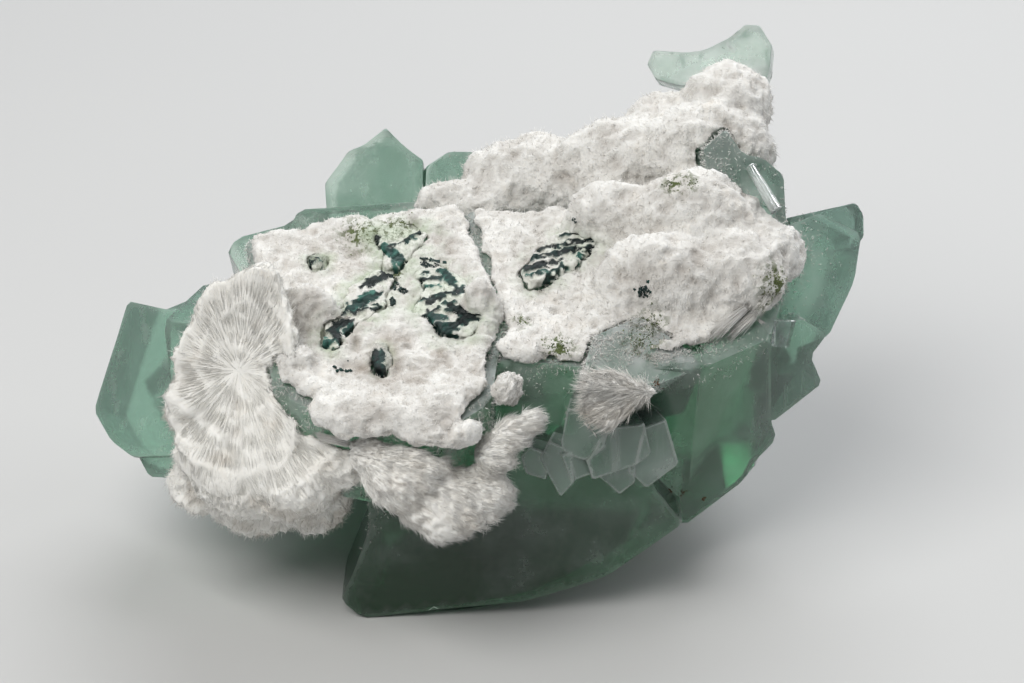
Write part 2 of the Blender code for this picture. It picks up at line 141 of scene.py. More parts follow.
# Each panel's name, place, aim, width and height in metres, power in watts, and colour
PANELS = [
    ("key panel", (-0.16, -0.20, 0.40), (0, 0, 0.02), (0.34, 0.26), 1.75, (1.0, 0.985, 0.96)),
    ("back panel", (0.08, 0.26, 0.34), (0, 0, 0.03), (0.36, 0.22), 1.2, (0.97, 0.985, 1.0)),
    ("right rim", (0.36, 0.10, 0.20), (0.02, 0, 0.03), (0.16, 0.26), 0.4, (0.97, 0.98, 1.0)),
]


def light_scene():
    for panel in PANELS:
        add_panel(*panel)
    world = bpy.data.worlds.new("pale studio")
    world.use_nodes = True
    world.node_tree.nodes["Background"].inputs["Color"].default_value = (0.80, 0.84, 0.88, 1)
    world.node_tree.nodes["Background"].inputs["Strength"].default_value = 0.20
    bpy.context.scene.world = world
    bpy.context.scene.view_settings.view_transform = "Standard"


light_scene()
print("panels:", [panel[0] for panel in PANELS])

# %% [markdown]
# ## Shader node groups
# Effects that several finishes share are node groups: crystal haze, the tint of the white fibres, and a
# fine grain for bump. Each is built once, and every material gives it its own values.


# %% A node group and its sockets
def new_group(name, inputs, outputs):
    group = bpy.data.node_groups.new(name, "ShaderNodeTree")
    for title, kind, value in inputs:
        socket = group.interface.new_socket(title, in_out="INPUT", socket_type=f"NodeSocket{kind}")
        socket.default_value = value
    for title, kind in outputs:
        group.interface.new_socket(title, in_out="OUTPUT", socket_type=f"NodeSocket{kind}")
    return group, group.nodes.new("NodeGroupInput"), group.nodes.new("NodeGroupOutput")


def noise_node(tree, scale, detail=4.0, rough=0.55, where=None):
    """Noise in the object's own coordinates. The scale is in waves for each metre."""
    node = tree.nodes.new("ShaderNodeTexNoise")
    node.inputs["Scale"].default_value = scale
    node.inputs["Detail"].default_value = detail
    node.inputs["Roughness"].default_value = rough
    if where is None:
        where = tree.nodes.new("ShaderNodeTexCoord").outputs["Object"]
    tree.links.new(where, node.inputs["Vector"])
    return node


def ramped(tree, value, low, high, to_low=0.0, to_high=1.0):
    """The value spread between two levels, and held at each end."""
    node = tree.nodes.new("ShaderNodeMapRange")
    for socket, number in zip(node.inputs[1:5], (low, high, to_low, to_high)):
        socket.default_value = number
    tree.links.new(value, node.inputs["Value"])
    return node.outputs["Result"]


def maths(tree, operation, first, second):
    node = tree.nodes.new("ShaderNodeMath")
    node.operation = operation
    for socket, value in zip(node.inputs, (first, second)):
        if isinstance(value, float):
            socket.default_value = value
        else:
            tree.links.new(value, socket)
    return node.outputs[0]


def mixed(tree, share, first, second):
    """Two colours mixed by a mask. Each colour is a socket or four numbers."""
    node = tree.nodes.new("ShaderNodeMix")
    node.data_type = "RGBA"
    for socket, value in ((node.inputs[0], share), (node.inputs[6], first), (node.inputs[7], second)):
        if isinstance(value, (tuple, float)):
            socket.default_value = value
        else:
            tree.links.new(value, socket)
    return node.outputs[2]


def mark_value(tree, name):
    """The number that a mesh carries on its points under this name."""
    node = tree.nodes.new("ShaderNodeAttribute")
    node.attribute_name = name
    return node.outputs["Fac"]


# %% Crystal haze
def crystal_haze_group():
    """Milky veils, a pale tone where the mesh asks for it, paler edges that are partly a painted highlight,
    and soft height for the growth surface.
    """
    group, given, out = new_group(
        "crystal haze",
        [("Deep Colour", "Color", (0.05, 0.2, 0.1, 1)), ("Pale Colour", "Color", (0.4, 0.6, 0.5, 1)),
         ("Veil Colour", "Color", (0.7, 0.8, 0.75, 1)), ("Veils", "Float", 0.5), ("Edges", "Float", 0.6)],
        [("Colour", "Color"), ("Veil", "Float"), ("Height", "Float")],
    )
    tone = mark_value(group, "tone")
    cloud = noise_node(group, 90, 5.0, 0.6).outputs["Fac"]
    wisps = noise_node(group, 320, 6.0, 0.7).outputs["Fac"]
    shift = ramped(group, cloud, 0.3, 0.7, -0.18, 0.18)
    paleness = maths(group, "ADD", tone, shift)
    body = mixed(group, ramped(group, paleness, 0.0, 1.0), given.outputs[0], given.outputs[1])
    veil = maths(group, "MULTIPLY", ramped(group, cloud, 0.5, 0.75), ramped(group, wisps, 0.42, 0.7))
    drawn = group.nodes.new("ShaderNodeMapping")
    drawn.inputs["Scale"].default_value = (1.0, 1.0, 0.10)
    group.links.new(group.nodes.new("ShaderNodeTexCoord").outputs["Object"], drawn.inputs["Vector"])
    streak = noise_node(group, 700, 4.0, 0.6, drawn.outputs["Vector"]).outputs["Fac"]
    streaks = maths(group, "MULTIPLY", ramped(group, streak, 0.52, 0.68, 0.0, 0.55), tone)
    veil = maths(group, "MULTIPLY", maths(group, "MAXIMUM", veil, streaks), given.outputs["Veils"])
    # Painted highlight, partly milky edges: the veil is paler along true edges.
    edge_highlight = maths(group, "MULTIPLY", mark_value(group, "edge"), ramped(group, wisps, 0.3, 0.6, 0.2, 0.9))
    veil = maths(group, "MAXIMUM", veil, maths(group, "MULTIPLY", edge_highlight, given.outputs["Edges"]))
    frosting = ramped(group, wisps, 0.34, 0.56, 0.0, 1.8)
    dusted = maths(group, "MULTIPLY", mark_value(group, "frost"), frosting)
    veil = maths(group, "MAXIMUM", veil, dusted)
    group.links.new(mixed(group, veil, body, given.outputs[2]), out.inputs["Colour"])
    group.links.new(veil, out.inputs["Veil"])
    fine = noise_node(group, 1500, 3.0, 0.6).outputs["Fac"]
    group.links.new(maths(group, "ADD", fine, wisps), out.inputs["Height"])
    return group


# %% Mordenite tint
def mordenite_tint_group():
    """White that falls to a beige painted shade where its shade mark is low, as in its hollows, stained green
    beside the dark patches.
    """
    # The second colour is painted shade: the white falls to it in hollows and other shaded places.
    group, given, out = new_group(
        "mordenite tint",
        [("Bright", "Color", (0.8, 0.79, 0.76, 1)), ("Painted Shade", "Color", (0.4, 0.36, 0.3, 1)),
         ("Pale Stain", "Color", (0.42, 0.50, 0.36, 1)), ("Olive Stain", "Color", (0.10, 0.13, 0.04, 1))],
        [("Colour", "Color"), ("Shade", "Float")],
    )
    mottle = noise_node(group, 260, 5.0, 0.65).outputs["Fac"]
    speck = noise_node(group, 1400, 3.0, 0.6).outputs["Fac"]
    shift = ramped(group, mottle, 0.3, 0.7, -0.16, 0.16)
    level = maths(group, "ADD", mark_value(group, "shade"), shift)
    white = mixed(group, ramped(group, level, 0.0, 1.0), given.outputs[1], given.outputs[0])
    warm = mixed(group, ramped(group, mottle, 0.56, 0.78, 0.0, 0.35), white, (0.62, 0.52, 0.40, 1))
    patchy = ramped(group, mottle, 0.40, 0.62, 0.0, 0.85)
    pale = maths(group, "MULTIPLY", mark_value(group, "stain"), patchy)
    green = mixed(group, pale, warm, given.outputs[2])
    specks = maths(group, "MULTIPLY", mark_value(group, "olive"), ramped(group, speck, 0.5, 0.58))
    group.links.new(mixed(group, specks, green, given.outputs[3]), out.inputs["Colour"])
    group.links.new(level, out.inputs["Shade"])
    return group


# %% Fine grain
def fine_grain_group():
    """Two sizes of grain for a bump."""
    group, given, out = new_group(
        "fine grain", [("Coarse", "Float", 900.0), ("Fine", "Float", 3000.0)], [("Height", "Float")]
    )
    coarse = noise_node(group, 900, 4.0, 0.6)
    fine = noise_node(group, 3000, 3.0, 0.6)
    group.links.new(given.outputs["Coarse"], coarse.inputs["Scale"])
    group.links.new(given.outputs["Fine"], fine.inputs["Scale"])
    total = maths(group, "ADD", coarse.outputs["Fac"], fine.outputs["Fac"])
    group.links.new(total, out.inputs["Height"])
    return group


CRYSTAL_HAZE = crystal_haze_group()
MORDENITE_TINT = mordenite_tint_group()
FINE_GRAIN = fine_grain_group()
print("node groups:", [group.name for group in (CRYSTAL_HAZE, MORDENITE_TINT, FINE_GRAIN)])


# %% [markdown]
# ## Materials
# Apophyllite is a clear mineral, tinted green by traces of metal. Its colour comes partly from light that
# crosses the body, so the shader passes light with the mineral's own refractive index and absorbs red on
# the way, and partly from milky veils near the surface, which scatter it. Mordenite is a mat of white
# needles: a rough shader, and no shine. Celadonite is an earthy clay mineral, dark with pale edges, and
# the white crust covers it between its dark strokes, so its shader holds both.


# %% A material with the group's node in it
def new_material(name):
    made = bpy.data.materials.new(name)
    made.use_nodes = True
    return made, made.node_tree, made.node_tree.nodes["Principled BSDF"]


def use_group(tree, group, values):
    node = tree.nodes.new("ShaderNodeGroup")
    node.node_tree = group
    for title, value in values.items():
        node.inputs[title].default_value = value
    return node


def add_bump(tree, shader, height, distance, strength):
    bump = tree.nodes.new("ShaderNodeBump")
    bump.inputs["Distance"].default_value = distance * MM
    bump.inputs["Strength"].default_value = strength
    tree.links.new(height, bump.inputs["Height"])
    tree.links.new(bump.outputs["Normal"], shader.inputs["Normal"])


# %% Clear and milky crystal
APOPHYLLITE_IOR = 1.535


def crystal_material(name, deep, pale, veil, veils, edges, clear, rough, absorb, density):
    made, tree, shader = new_material(name)
    haze = use_group(tree, CRYSTAL_HAZE, {
        "Deep Colour": (*deep, 1), "Pale Colour": (*pale, 1), "Veil Colour": (*veil, 1), "Veils": veils,
        "Edges": edges,
    })
    tree.links.new(haze.outputs["Colour"], shader.inputs["Base Color"])
    matt = ramped(tree, haze.outputs["Veil"], 0.0, 0.6, rough, rough + 0.3)
    tree.links.new(matt, shader.inputs["Roughness"])
    shader.inputs["Transmission Weight"].default_value = clear
    shader.inputs["IOR"].default_value = APOPHYLLITE_IOR
    shader.inputs["Coat Weight"].default_value = 0.15
    shader.inputs["Coat Roughness"].default_value = 0.06
    add_bump(tree, shader, haze.outputs["Height"], 0.03, 0.12)
    volume = tree.nodes.new("ShaderNodeVolumeAbsorption")
    volume.inputs["Color"].default_value = (*absorb, 1)
    volume.inputs["Density"].default_value = density
    tree.links.new(volume.outputs["Volume"], tree.nodes["Material Output"].inputs["Volume"])
    return made


GREEN_CRYSTAL = crystal_material(
    "green apophyllite", deep=(0.014, 0.105, 0.032), pale=(0.48, 0.66, 0.59), veil=(0.78, 0.87, 0.83),
    veils=0.6, edges=0.4, clear=0.74, rough=0.20, absorb=(0.10, 0.62, 0.30), density=55)
PALE_CRYSTAL = crystal_material(
    "pale apophyllite", deep=(0.15, 0.28, 0.20), pale=(0.52, 0.66, 0.59), veil=(0.88, 0.93, 0.91),
    veils=1.0, edges=1.0, clear=0.60, rough=0.14, absorb=(0.40, 0.75, 0.55), density=35)
GLASSY_CRYSTAL = crystal_material(
    "glassy apophyllite", deep=(0.74, 0.82, 0.80), pale=(0.88, 0.94, 0.92), veil=(0.92, 0.95, 0.95),
    veils=0.4, edges=0.5, clear=0.94, rough=0.03, absorb=(0.60, 0.80, 0.75), density=20)


# %% White fibres and crust
# The second colour is a painted shade for the hollows of the white.
def mordenite_material(name, bright, painted_shade_colour, coarse, fine, bump, rough):
    made, tree, shader = new_material(name)
    tint = use_group(tree, MORDENITE_TINT, {"Bright": (*bright, 1), "Painted Shade": (*painted_shade_colour, 1)})
    tree.links.new(tint.outputs["Colour"], shader.inputs["Base Color"])
    matt = ramped(tree, tint.outputs["Shade"], 0, 1, rough + 0.1, rough)
    tree.links.new(matt, shader.inputs["Roughness"])
    shader.inputs["Subsurface Weight"].default_value = 0.15
    shader.inputs["Subsurface Scale"].default_value = 0.0008
    shader.inputs["Subsurface Radius"].default_value = (1.0, 0.95, 0.85)
    shader.inputs["Sheen Weight"].default_value = 0.15
    grain = use_group(tree, FINE_GRAIN, {"Coarse": coarse, "Fine": fine})
    add_bump(tree, shader, grain.outputs["Height"], bump, 0.8)
    return made


CRUST_WHITE = mordenite_material(
    "mordenite crust", bright=(0.80, 0.79, 0.76), painted_shade_colour=(0.36, 0.32, 0.28), coarse=1500, fine=4200,
    bump=0.16, rough=0.8)
FIBRE_WHITE = mordenite_material(
    "mordenite fibre", bright=(0.90, 0.89, 0.86), painted_shade_colour=(0.58, 0.53, 0.46), coarse=2500, fine=6000,
    bump=0.02, rough=0.6)
SILK_WHITE = mordenite_material(
    "mordenite silk", bright=(0.90, 0.89, 0.85), painted_shade_colour=(0.62, 0.58, 0.52), coarse=2200, fine=5200,
    bump=0.03, rough=0.55)


# %% Celadonite
def celadonite_material():
    """Dark blue-green, with painted shade that keeps it darker in its cracks and paler on its folds, under
    white crust where the mesh says that it is covered.
    """
    made, tree, shader = new_material("celadonite")
    mottle = noise_node(tree, 700, 5.0, 0.65).outputs["Fac"]
    level = maths(tree, "ADD", mark_value(tree, "shade"), ramped(tree, mottle, 0.3, 0.7, -0.3, 0.3))
    dark = mixed(tree, ramped(tree, level, 0.25, 0.75), (0.002, 0.008, 0.008, 1), (0.009, 0.045, 0.038, 1))
    light = mixed(tree, ramped(tree, level, 0.72, 1.1), dark, (0.05, 0.17, 0.135, 1))
    tint = use_group(tree, MORDENITE_TINT, {
        "Bright": (0.80, 0.79, 0.76, 1), "Painted Shade": (0.42, 0.40, 0.33, 1),
        "Pale Stain": (0.60, 0.66, 0.54, 1),
    })
    colour = mixed(tree, mark_value(tree, "cover"), light, tint.outputs["Colour"])
    tree.links.new(colour, shader.inputs["Base Color"])
    tree.links.new(ramped(tree, mottle, 0.3, 0.7, 0.45, 0.8), shader.inputs["Roughness"])
    grain = use_group(tree, FINE_GRAIN, {"Coarse": 1800.0, "Fine": 5000.0})
    add_bump(tree, shader, grain.outputs["Height"], 0.08, 0.8)
    return made


def grain_material(name, first, second, rough):
    """Small grains: two colours that change from grain to grain."""
    made, tree, shader = new_material(name)
    mottle = noise_node(tree, 1100, 3.0, 0.6).outputs["Fac"]
    colour = mixed(tree, ramped(tree, mottle, 0.4, 0.6), (*first, 1), (*second, 1))
    tree.links.new(colour, shader.inputs["Base Color"])
    tree.links.new(ramped(tree, mottle, 0.3, 0.7, rough - 0.1, rough + 0.1), shader.inputs["Roughness"])
    grain = use_group(tree, FINE_GRAIN, {"Coarse": 4000.0, "Fine": 9000.0})
    add_bump(tree, shader, grain.outputs["Height"], 0.03, 0.6)
    return made


CELADONITE = celadonite_material()
OLIVE_GRAIN = grain_material("olive grains", (0.05, 0.08, 0.02), (0.16, 0.20, 0.07), 0.7)
RUST_GRAIN = grain_material("rust grains", (0.10, 0.045, 0.015), (0.05, 0.04, 0.02), 0.7)
print("materials:", sorted(material.name for material in bpy.data.materials if material.use_nodes))

# %% [markdown]
# ## Shared mesh helpers
# Numpy moves many points at once, so the noise, the fibres and the sampling of surfaces work on arrays.


# %% Noise on arrays of points
def lattice_value(cells, seed):
    """A fixed number from -1 to 1 for each whole-number cell."""
    mixed_up = cells[:, 0] * 73856093 ^ cells[:, 1] * 19349663 ^ cells[:, 2] * 83492791 ^ seed * 265443576
    mixed_up = (mixed_up ^ (mixed_up >> 13)) * 1274126177
    return ((mixed_up ^ (mixed_up >> 16)) & 0xFFFF) / 32767.5 - 1


def hills(points, width, seed):
    """Smooth noise from -1 to 1 at each point, with hills of about this width."""
    scaled = points / width
    low = np.floor(scaled).astype(np.int64)
    share = scaled - low
    ease = share * share * (3 - 2 * share)
    total = np.zeros(len(points))
    for corner in np.ndindex(2, 2, 2):
        picked = np.array(corner)
        weight = np.prod(np.where(picked == 1, ease, 1 - ease), axis=1)
        total += weight * lattice_value(low + picked, seed)
    return total


def layered_hills(points, width, seed, layers=3):
    return sum(hills(points, width / 2**i, seed + i) * 0.55**i for i in range(layers))


def unit(vectors):
    return vectors / np.maximum(np.linalg.norm(vectors, axis=1, keepdims=True), 1e-9)


# %% Meshes as arrays
def read_points(mesh, what="co"):
    found = np.empty(len(mesh.vertices) * 3)
    mesh.vertices.foreach_get(what, found)
    return found.reshape(-1, 3)


def set_mark(mesh, name, values):
    """A number on every point, which the materials read by its name."""
    mark = mesh.attributes.new(name, "FLOAT", "POINT")
    mark.data.foreach_set("value", np.broadcast_to(values, len(mesh.vertices)).astype(np.float32))


def write_points(mesh, points):
    """Puts the points back, held inside the solids' own box."""
    mesh.vertices.foreach_set("co", (np.clip(points, LOW, HIGH) * MM).ravel())
    mesh.update()


def mesh_of(name, points, triangles):
    mesh = bpy.data.meshes.new(name)
    mesh.vertices.add(len(points))
    mesh.loops.add(triangles.size)
    mesh.polygons.add(len(triangles))
    mesh.loops.foreach_set("vertex_index", triangles.ravel().astype(np.int32))
    mesh.polygons.foreach_set("loop_start", np.arange(0, triangles.size, 3, dtype=np.int32))
    mesh.polygons.foreach_set("use_smooth", np.ones(len(triangles), dtype=bool))
    write_points(mesh, points)
    mesh.update(calc_edges=True)
    return mesh


def add_piece(name, mesh, skin, nodes=()):
    """One visible piece. It rides with the specimen, and may stand for nodes of the frame."""
    mesh.name = name
    mesh.materials.clear()
    mesh.materials.append(skin)
    obj = bpy.data.objects.new(name, mesh)
    bpy.context.scene.collection.objects.link(obj)
    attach(obj, "root")
    if nodes:
        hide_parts(*nodes)
    print(f"{name}: {sum(len(face.vertices) - 2 for face in mesh.polygons)} triangles")
    return obj


def evaluated(obj):
    """The object's mesh after its modifiers. The object is removed."""
    bpy.context.view_layer.update()
    mesh = bpy.data.meshes.new_from_object(obj.evaluated_get(bpy.context.evaluated_depsgraph_get()))
    bpy.data.objects.remove(obj)
    return mesh


def working_object(name, mesh):
    obj = bpy.data.objects.new(name, mesh)
    bpy.context.scene.collection.objects.link(obj)
    return obj


def fine_skin(node, voxel):
    """A fine, even skin over a copy of a node's mesh."""
    obj = working_object(node, frame["nodes"][node].data.copy())
    even = obj.modifiers.new("even skin", "REMESH")
    even.mode = "VOXEL"
    even.voxel_size = voxel * MM
    even.use_smooth_shade = True
    return evaluated(obj)


# %% Points spread over a surface
def spread(mesh, count, rng, mark=None):
    """Random places on a mesh, with their normals, even by area or more where a mark is high."""
    mesh.calc_loop_triangles()
    corners = np.empty(len(mesh.loop_triangles) * 3, dtype=np.int32)
    mesh.loop_triangles.foreach_get("vertices", corners)
    corners = corners.reshape(-1, 3)
    points = read_points(mesh) / MM
    a, b, c = (points[corners[:, i]] for i in range(3))
    across = np.cross(b - a, c - a)
    area = np.linalg.norm(across, axis=1)
    if mark is not None:
        area = area * mark[corners].mean(axis=1)
    picked = rng.choice(len(corners), size=count, p=area / area.sum())
    u, v = rng.random((2, count, 1))
    over = u + v > 1
    u, v = np.where(over, 1 - u, u), np.where(over, 1 - v, v)
    places = a[picked] + (b - a)[picked] * u + (c - a)[picked] * v
    return places, unit(across[picked])


# %% Fibres
# A fibre has two rings of three points and a tip
RING_ANGLES = (0, 2.094, 4.189)
FIBRE_POINTS = 7


def laid(bed, places, above):
    """The nearest place to each point on a surface, a little above it."""
    found = [bed.find_nearest(Vector(place * MM)) for place in places]
    return np.array([(hit[0] + hit[1] * above * MM) / MM for hit in found])


def fibres(name, roots, directions, lengths, widths, bends, rng, bed=None, lying=None):
    """Many three-sided fibres in one mesh, each with a bend and a sharp tip, and the root at every point.

    On a bed, those that are lying have their middle and tip laid on it.
    """
    lying = np.full(len(roots), bed is not None) if lying is None else lying
    tips = roots + directions * lengths[:, None] + bends
    inside = np.all((tips > LOW) & (tips < HIGH), axis=1) & np.all((roots > LOW) & (roots < HIGH), axis=1)
    roots, directions, lengths, widths, bends, lying = (
        values[inside] for values in (roots, directions, lengths, widths, bends, lying))
    tips = tips[inside]
    middles = roots + directions * lengths[:, None] * 0.5 + bends * 0.25
    if bed is not None:
        middles[lying] = laid(bed, middles[lying], 0.02)
        tips[lying] = laid(bed, tips[lying], 0.0)
    side = unit(np.cross(directions, unit(rng.normal(size=roots.shape))))
    other = np.cross(directions, side)
    rings = []
    for centre, scale in ((roots, 1.0), (middles, 0.75)):
        for angle in RING_ANGLES:
            swing = side * math.cos(angle) + other * math.sin(angle)
            rings.append(centre + swing * (widths * scale)[:, None])
    points = np.stack([*rings, tips], axis=1).reshape(-1, 3)
    pattern = [(2, 1, 0)]
    for i in range(3):
        j = (i + 1) % 3
        pattern += [(i, j, j + 3), (i, j + 3, i + 3), (i + 3, j + 3, 6)]
    starts = np.arange(len(roots))[:, None, None] * FIBRE_POINTS
    triangles = (np.array(pattern)[None] + starts).reshape(-1, 3)
    mesh = mesh_of(name, points, triangles)
    return mesh, np.repeat(roots, FIBRE_POINTS, axis=0)


def along_surface(flow, out):
    """The flow with its part along the surface's own normal taken away."""
    return unit(flow - out * np.sum(flow * out, axis=1, keepdims=True))


def own_shade(at, rng, amount):
    """A small random number for each fibre, the same on all its points, so that neighbours differ."""
    return np.repeat(rng.normal(size=len(at) // FIBRE_POINTS) * amount, FIBRE_POINTS)


# %% Small grains
def grains(name, centres, sizes, rng):
    """Small uneven grains: eight-sided stones, each turned and stretched its own way."""
    shape = np.array([(1, 0, 0), (-1, 0, 0), (0, 1, 0), (0, -1, 0), (0, 0, 1), (0, 0, -1)], dtype=float)
    sides = np.array([(0, 2, 4), (2, 1, 4), (1, 3, 4), (3, 0, 4), (2, 0, 5), (1, 2, 5), (3, 1, 5), (0, 3, 5)])
    count = len(centres)
    turns = np.linalg.qr(rng.normal(size=(count, 3, 3)))[0]
    turns *= np.sign(np.linalg.det(turns))[:, None, None]
    stretch = sizes[:, None, None] * rng.uniform(0.5, 1.2, (count, 6, 1))
    points = (shape[None] * stretch) @ turns + centres[:, None]
    triangles = (sides[None] + np.arange(count)[:, None, None] * 6).reshape(-1, 3)
    return mesh_of(name, points.reshape(-1, 3), triangles)


# %% Nearest places on a mesh
def tree_of(mesh):
    return BVHTree.FromPolygons([v.co for v in mesh.vertices], [list(p.vertices) for p in mesh.polygons])


WHITE_TREES = [
    tree_of(frame["nodes"][name].data)
    for name in ("mordenite_roof_crust", "mordenite_ridge_crust", "mordenite_spray", "mordenite_puff")
]


FROST_REACH = 4
FROST_FADE = 1.7


def frost_share(points):
    """How near each point is to the white crust: 1 beside it, and nearly 0 a few millimetres away."""
    away = np.full(len(points), FROST_REACH * 2.0)
    for tree in WHITE_TREES:
        for i, point in enumerate(points * MM):
            hit = tree.find_nearest(point, FROST_REACH * MM)
            if hit[0] is not None:
                away[i] = min(away[i], hit[3] / MM)
    return np.where(away < FROST_REACH, np.exp(-away / FROST_FADE), 0.0)


# %% [markdown]
# ## Green crystals
# The intergrown blocks are one clear body, so light crosses them without meeting a wall inside. The piece
# is a copy of the solid with its edges softened by a few hundredths of a millimetre, its flats divided, and
# the points moved by very little, so that highlights break up as they do on a natural face. Marks on the
# points say how pale the crystal is there, partly its own colour and partly painted shade, how near a true
# edge is, where it is paler, partly as a milky edge and partly as a painted highlight, and how near the white
# crust is, where real crystals carry frost.


# %% A crystal's skin
# Two flats that meet at more than this many degrees have a true edge between them
TRUE_EDGE = 25
SHARP_SHADING = 24


def softened(body, width):
    """Cuts a narrow facet along every long true edge."""
    edges = [
        edge for edge in body.edges
        if edge.calc_face_angle(0) > math.radians(TRUE_EDGE) and edge.calc_length() > 12 * width * MM
    ]
    bmesh.ops.bevel(
        body, geom=edges, offset=width * MM, affect="EDGES", segments=2, profile=0.6, clamp_overlap=False)


def divided(body, longest):
    """Divides the flats until no edge is longer than this, and marks the true edges sharp."""
    bmesh.ops.triangulate(body, faces=body.faces)
    for _ in range(7):
        long_edges = [edge for edge in body.edges if edge.calc_length() > longest * MM]
        if not long_edges:
            break
        bmesh.ops.subdivide_edges(body, edges=long_edges, cuts=1)
        bmesh.ops.triangulate(body, faces=[face for face in body.faces if len(face.verts) > 3])
    for face in body.faces:
        face.smooth = True
    for edge in body.edges:
        edge.smooth = edge.calc_face_angle(0) < math.radians(SHARP_SHADING)


def edge_marks(mesh, reach):
    """How near each point is to a true edge: 1 on it, and 0 from this far away."""
    on_edge = sorted({i for edge in mesh.edges if edge.use_edge_sharp for i in edge.vertices})
    points = read_points(mesh)
    near = KDTree(len(on_edge))
    for i in on_edge:
        near.insert(points[i], i)
    near.balance()
    away = np.array([near.find(point)[2] for point in points]) / MM
    return np.clip(1 - away / reach, 0, 1)


def crystal_skin(mesh, soft, longest, wave, edge_highlight_reach, tone):
    """Softens, divides, marks and gently moves a crystal's mesh, by sizes in millimetres."""
    body = bmesh.new()
    body.from_mesh(mesh)
    bmesh.ops.remove_doubles(body, verts=body.verts, dist=2e-7)
    bmesh.ops.dissolve_limit(body, angle_limit=0.01, verts=body.verts, edges=body.edges)
    softened(body, soft)
    divided(body, longest)
    body.to_mesh(mesh)
    body.free()
    points = read_points(mesh) / MM
    set_mark(mesh, "tone", tone(points))
    # The edge mark makes true edges paler: partly a milky edge, partly a painted highlight.
    set_mark(mesh, "edge", edge_marks(mesh, edge_highlight_reach))
    set_mark(mesh, "frost", frost_share(points))
    move = layered_hills(points, 4.0, 3) * wave + hills(points * (3, 3, 0.5), 1.4, 9) * wave * 0.4
    move[points[:, 2] < 0.4] = 0
    write_points(mesh, points + read_points(mesh, "normal") * move[:, None])
    return mesh


# %% The intergrown green blocks
def green_tone_and_painted_shade(points):
    """How pale the green is: paler to the sides and back as its own colour, with painted shade deep low in
    front and paler upward.
    """
    x, y, z = points.T
    left = np.clip((-x - 17) / 6, 0, 1)
    right = np.clip((x - 18) / 16, 0, 1) * 0.95
    back = np.clip((y - 6) / 10, 0, 1) * 0.7
    # Painted shade: the green is deeper towards the bottom and paler at the top.
    top = np.clip((z - 26) / 8, 0, 1) * 0.75
    low = np.clip((z - 2) / 26, 0, 1) * 0.35
    return np.maximum.reduce([left, right, back, top, low])


GREEN_BLOCKS = crystal_skin(
    frame["nodes"]["apophyllite_cluster"].data.copy(),
    soft=0.07, longest=1.5, wave=0.035, edge_highlight_reach=0.7, tone=green_tone_and_painted_shade)
add_piece("green_crystals", GREEN_BLOCKS, GREEN_CRYSTAL, ["apophyllite_cluster"])


# %% The frosted crest
def crest_tone(points):
    return 0.6 + 0.3 * hills(points, 4.0, 5)


CREST = crystal_skin(
    frame["nodes"]["apophyllite_crest"].data.copy(),
    soft=0.07, longest=0.7, wave=0.06, edge_highlight_reach=0.8, tone=crest_tone)
add_piece("crest_crystal", CREST, PALE_CRYSTAL, ["apophyllite_crest"])


# %% [markdown]
# ## Paler crystals on the front
# A group of small, paler crystals sits on the front, and the tip at the far right is nearly clear. Each is
# a block a hair larger than the same crystal in the solid, so that its frosted faces lie just over it.


# %% A face's own frame
def facing_matrix(at, facing, roll=0.0):
    """A frame at a place whose +Z looks straight out of the face, and whose +X runs level."""
    turn, lean = (math.radians(angle) for angle in facing)
    level = math.cos(lean)
    out = Vector((math.sin(turn) * level, -math.cos(turn) * level, math.sin(lean)))
    across = Vector((math.cos(turn), math.sin(turn), 0))
    axes = Matrix((across, out.cross(across), out)).transposed().to_4x4()
    spin = Matrix.Rotation(math.radians(roll), 4, "Z")
    return Matrix.Translation(Vector(at) + LAYOUT_SHIFT) @ axes @ spin


def box(width, height):
    x, y = width / 2, height / 2
    return [(-x, -y), (x, -y), (x, y), (-x, y)]


# %% Rows: place, facing, outline, depth, roll and corner cut of each small crystal
PERCHED_CRYSTALS = [
    ((17, -12, 30), (12, 50), [(-6.5, -1), (-5.5, -4), (-0.5, -4), (5, -2.5), (4, -0.5), (0, 3.5), (-5, 2)],
     9, 0, 0.5),
    ((11.5, -16.5, 22), (-8, 8), [(-3, -0.5), (-2.5, -1.5), (-0.5, -2), (1.2, -0.5), (2, 3), (-2.5, 3.4)],
     6, 0, 0.3),
    ((15.5, -16, 20), (14, 5), [(-4.5, 0), (-4, -2), (0.5, -1), (2, 0), (1.4, 3.4), (-2.4, 3.4)], 6, 0, 0.3),
    ((19, -14, 18), (24, 0), [(-4, 0), (-2, -2.5), (1.5, -0.5), (0, 5), (-3.5, 4.5)], 6, 0, 0.3),
    ((9.5, -16.5, 18.5), (-15, 5), [(-3.2, 1), (-1, -3), (0.4, -1), (-0.4, 2.4), (-2.4, 3)], 5, 0, 0.3),
    ((11.5, -16.0, 18.5), (15, 5), [(-3, 2), (-2, -1), (0, -0.5), (0, 2.4)], 5, 0, 0.2),
    ((14.5, -15.6, 17), (8, -10), [(-2.5, 1), (0, -2), (1.5, -0.5), (1.4, 2), (-2, 2.4)], 5, 0, 0.2),
    ((6, -15.4, 19), (-10, 0), [(-1.5, 0.5), (-1, -1.5), (1, -2), (1.4, 1), (-0.6, 1.6)], 4, 0, 0.2),
]
GLASSY_CRYSTALS = [
    ((38, 5, 35), (25, 33), [(-6, -2), (0.5, -2.5), (2, -1.5), (2.5, 0.5), (2, 2), (-6, 2)], 5, 0, 0.4),
    ((-2.4, -19.4, 24.4), (-5, 10), box(2.8, 2.8), 5, 12, 0.3),
    ((31.2, -7.6, 29.4), (20, 20), [(-1.3, -1.2), (0.2, -1.5), (1.2, 1.0), (-0.9, 1.3)], 1.4, 0, 0.1),
]


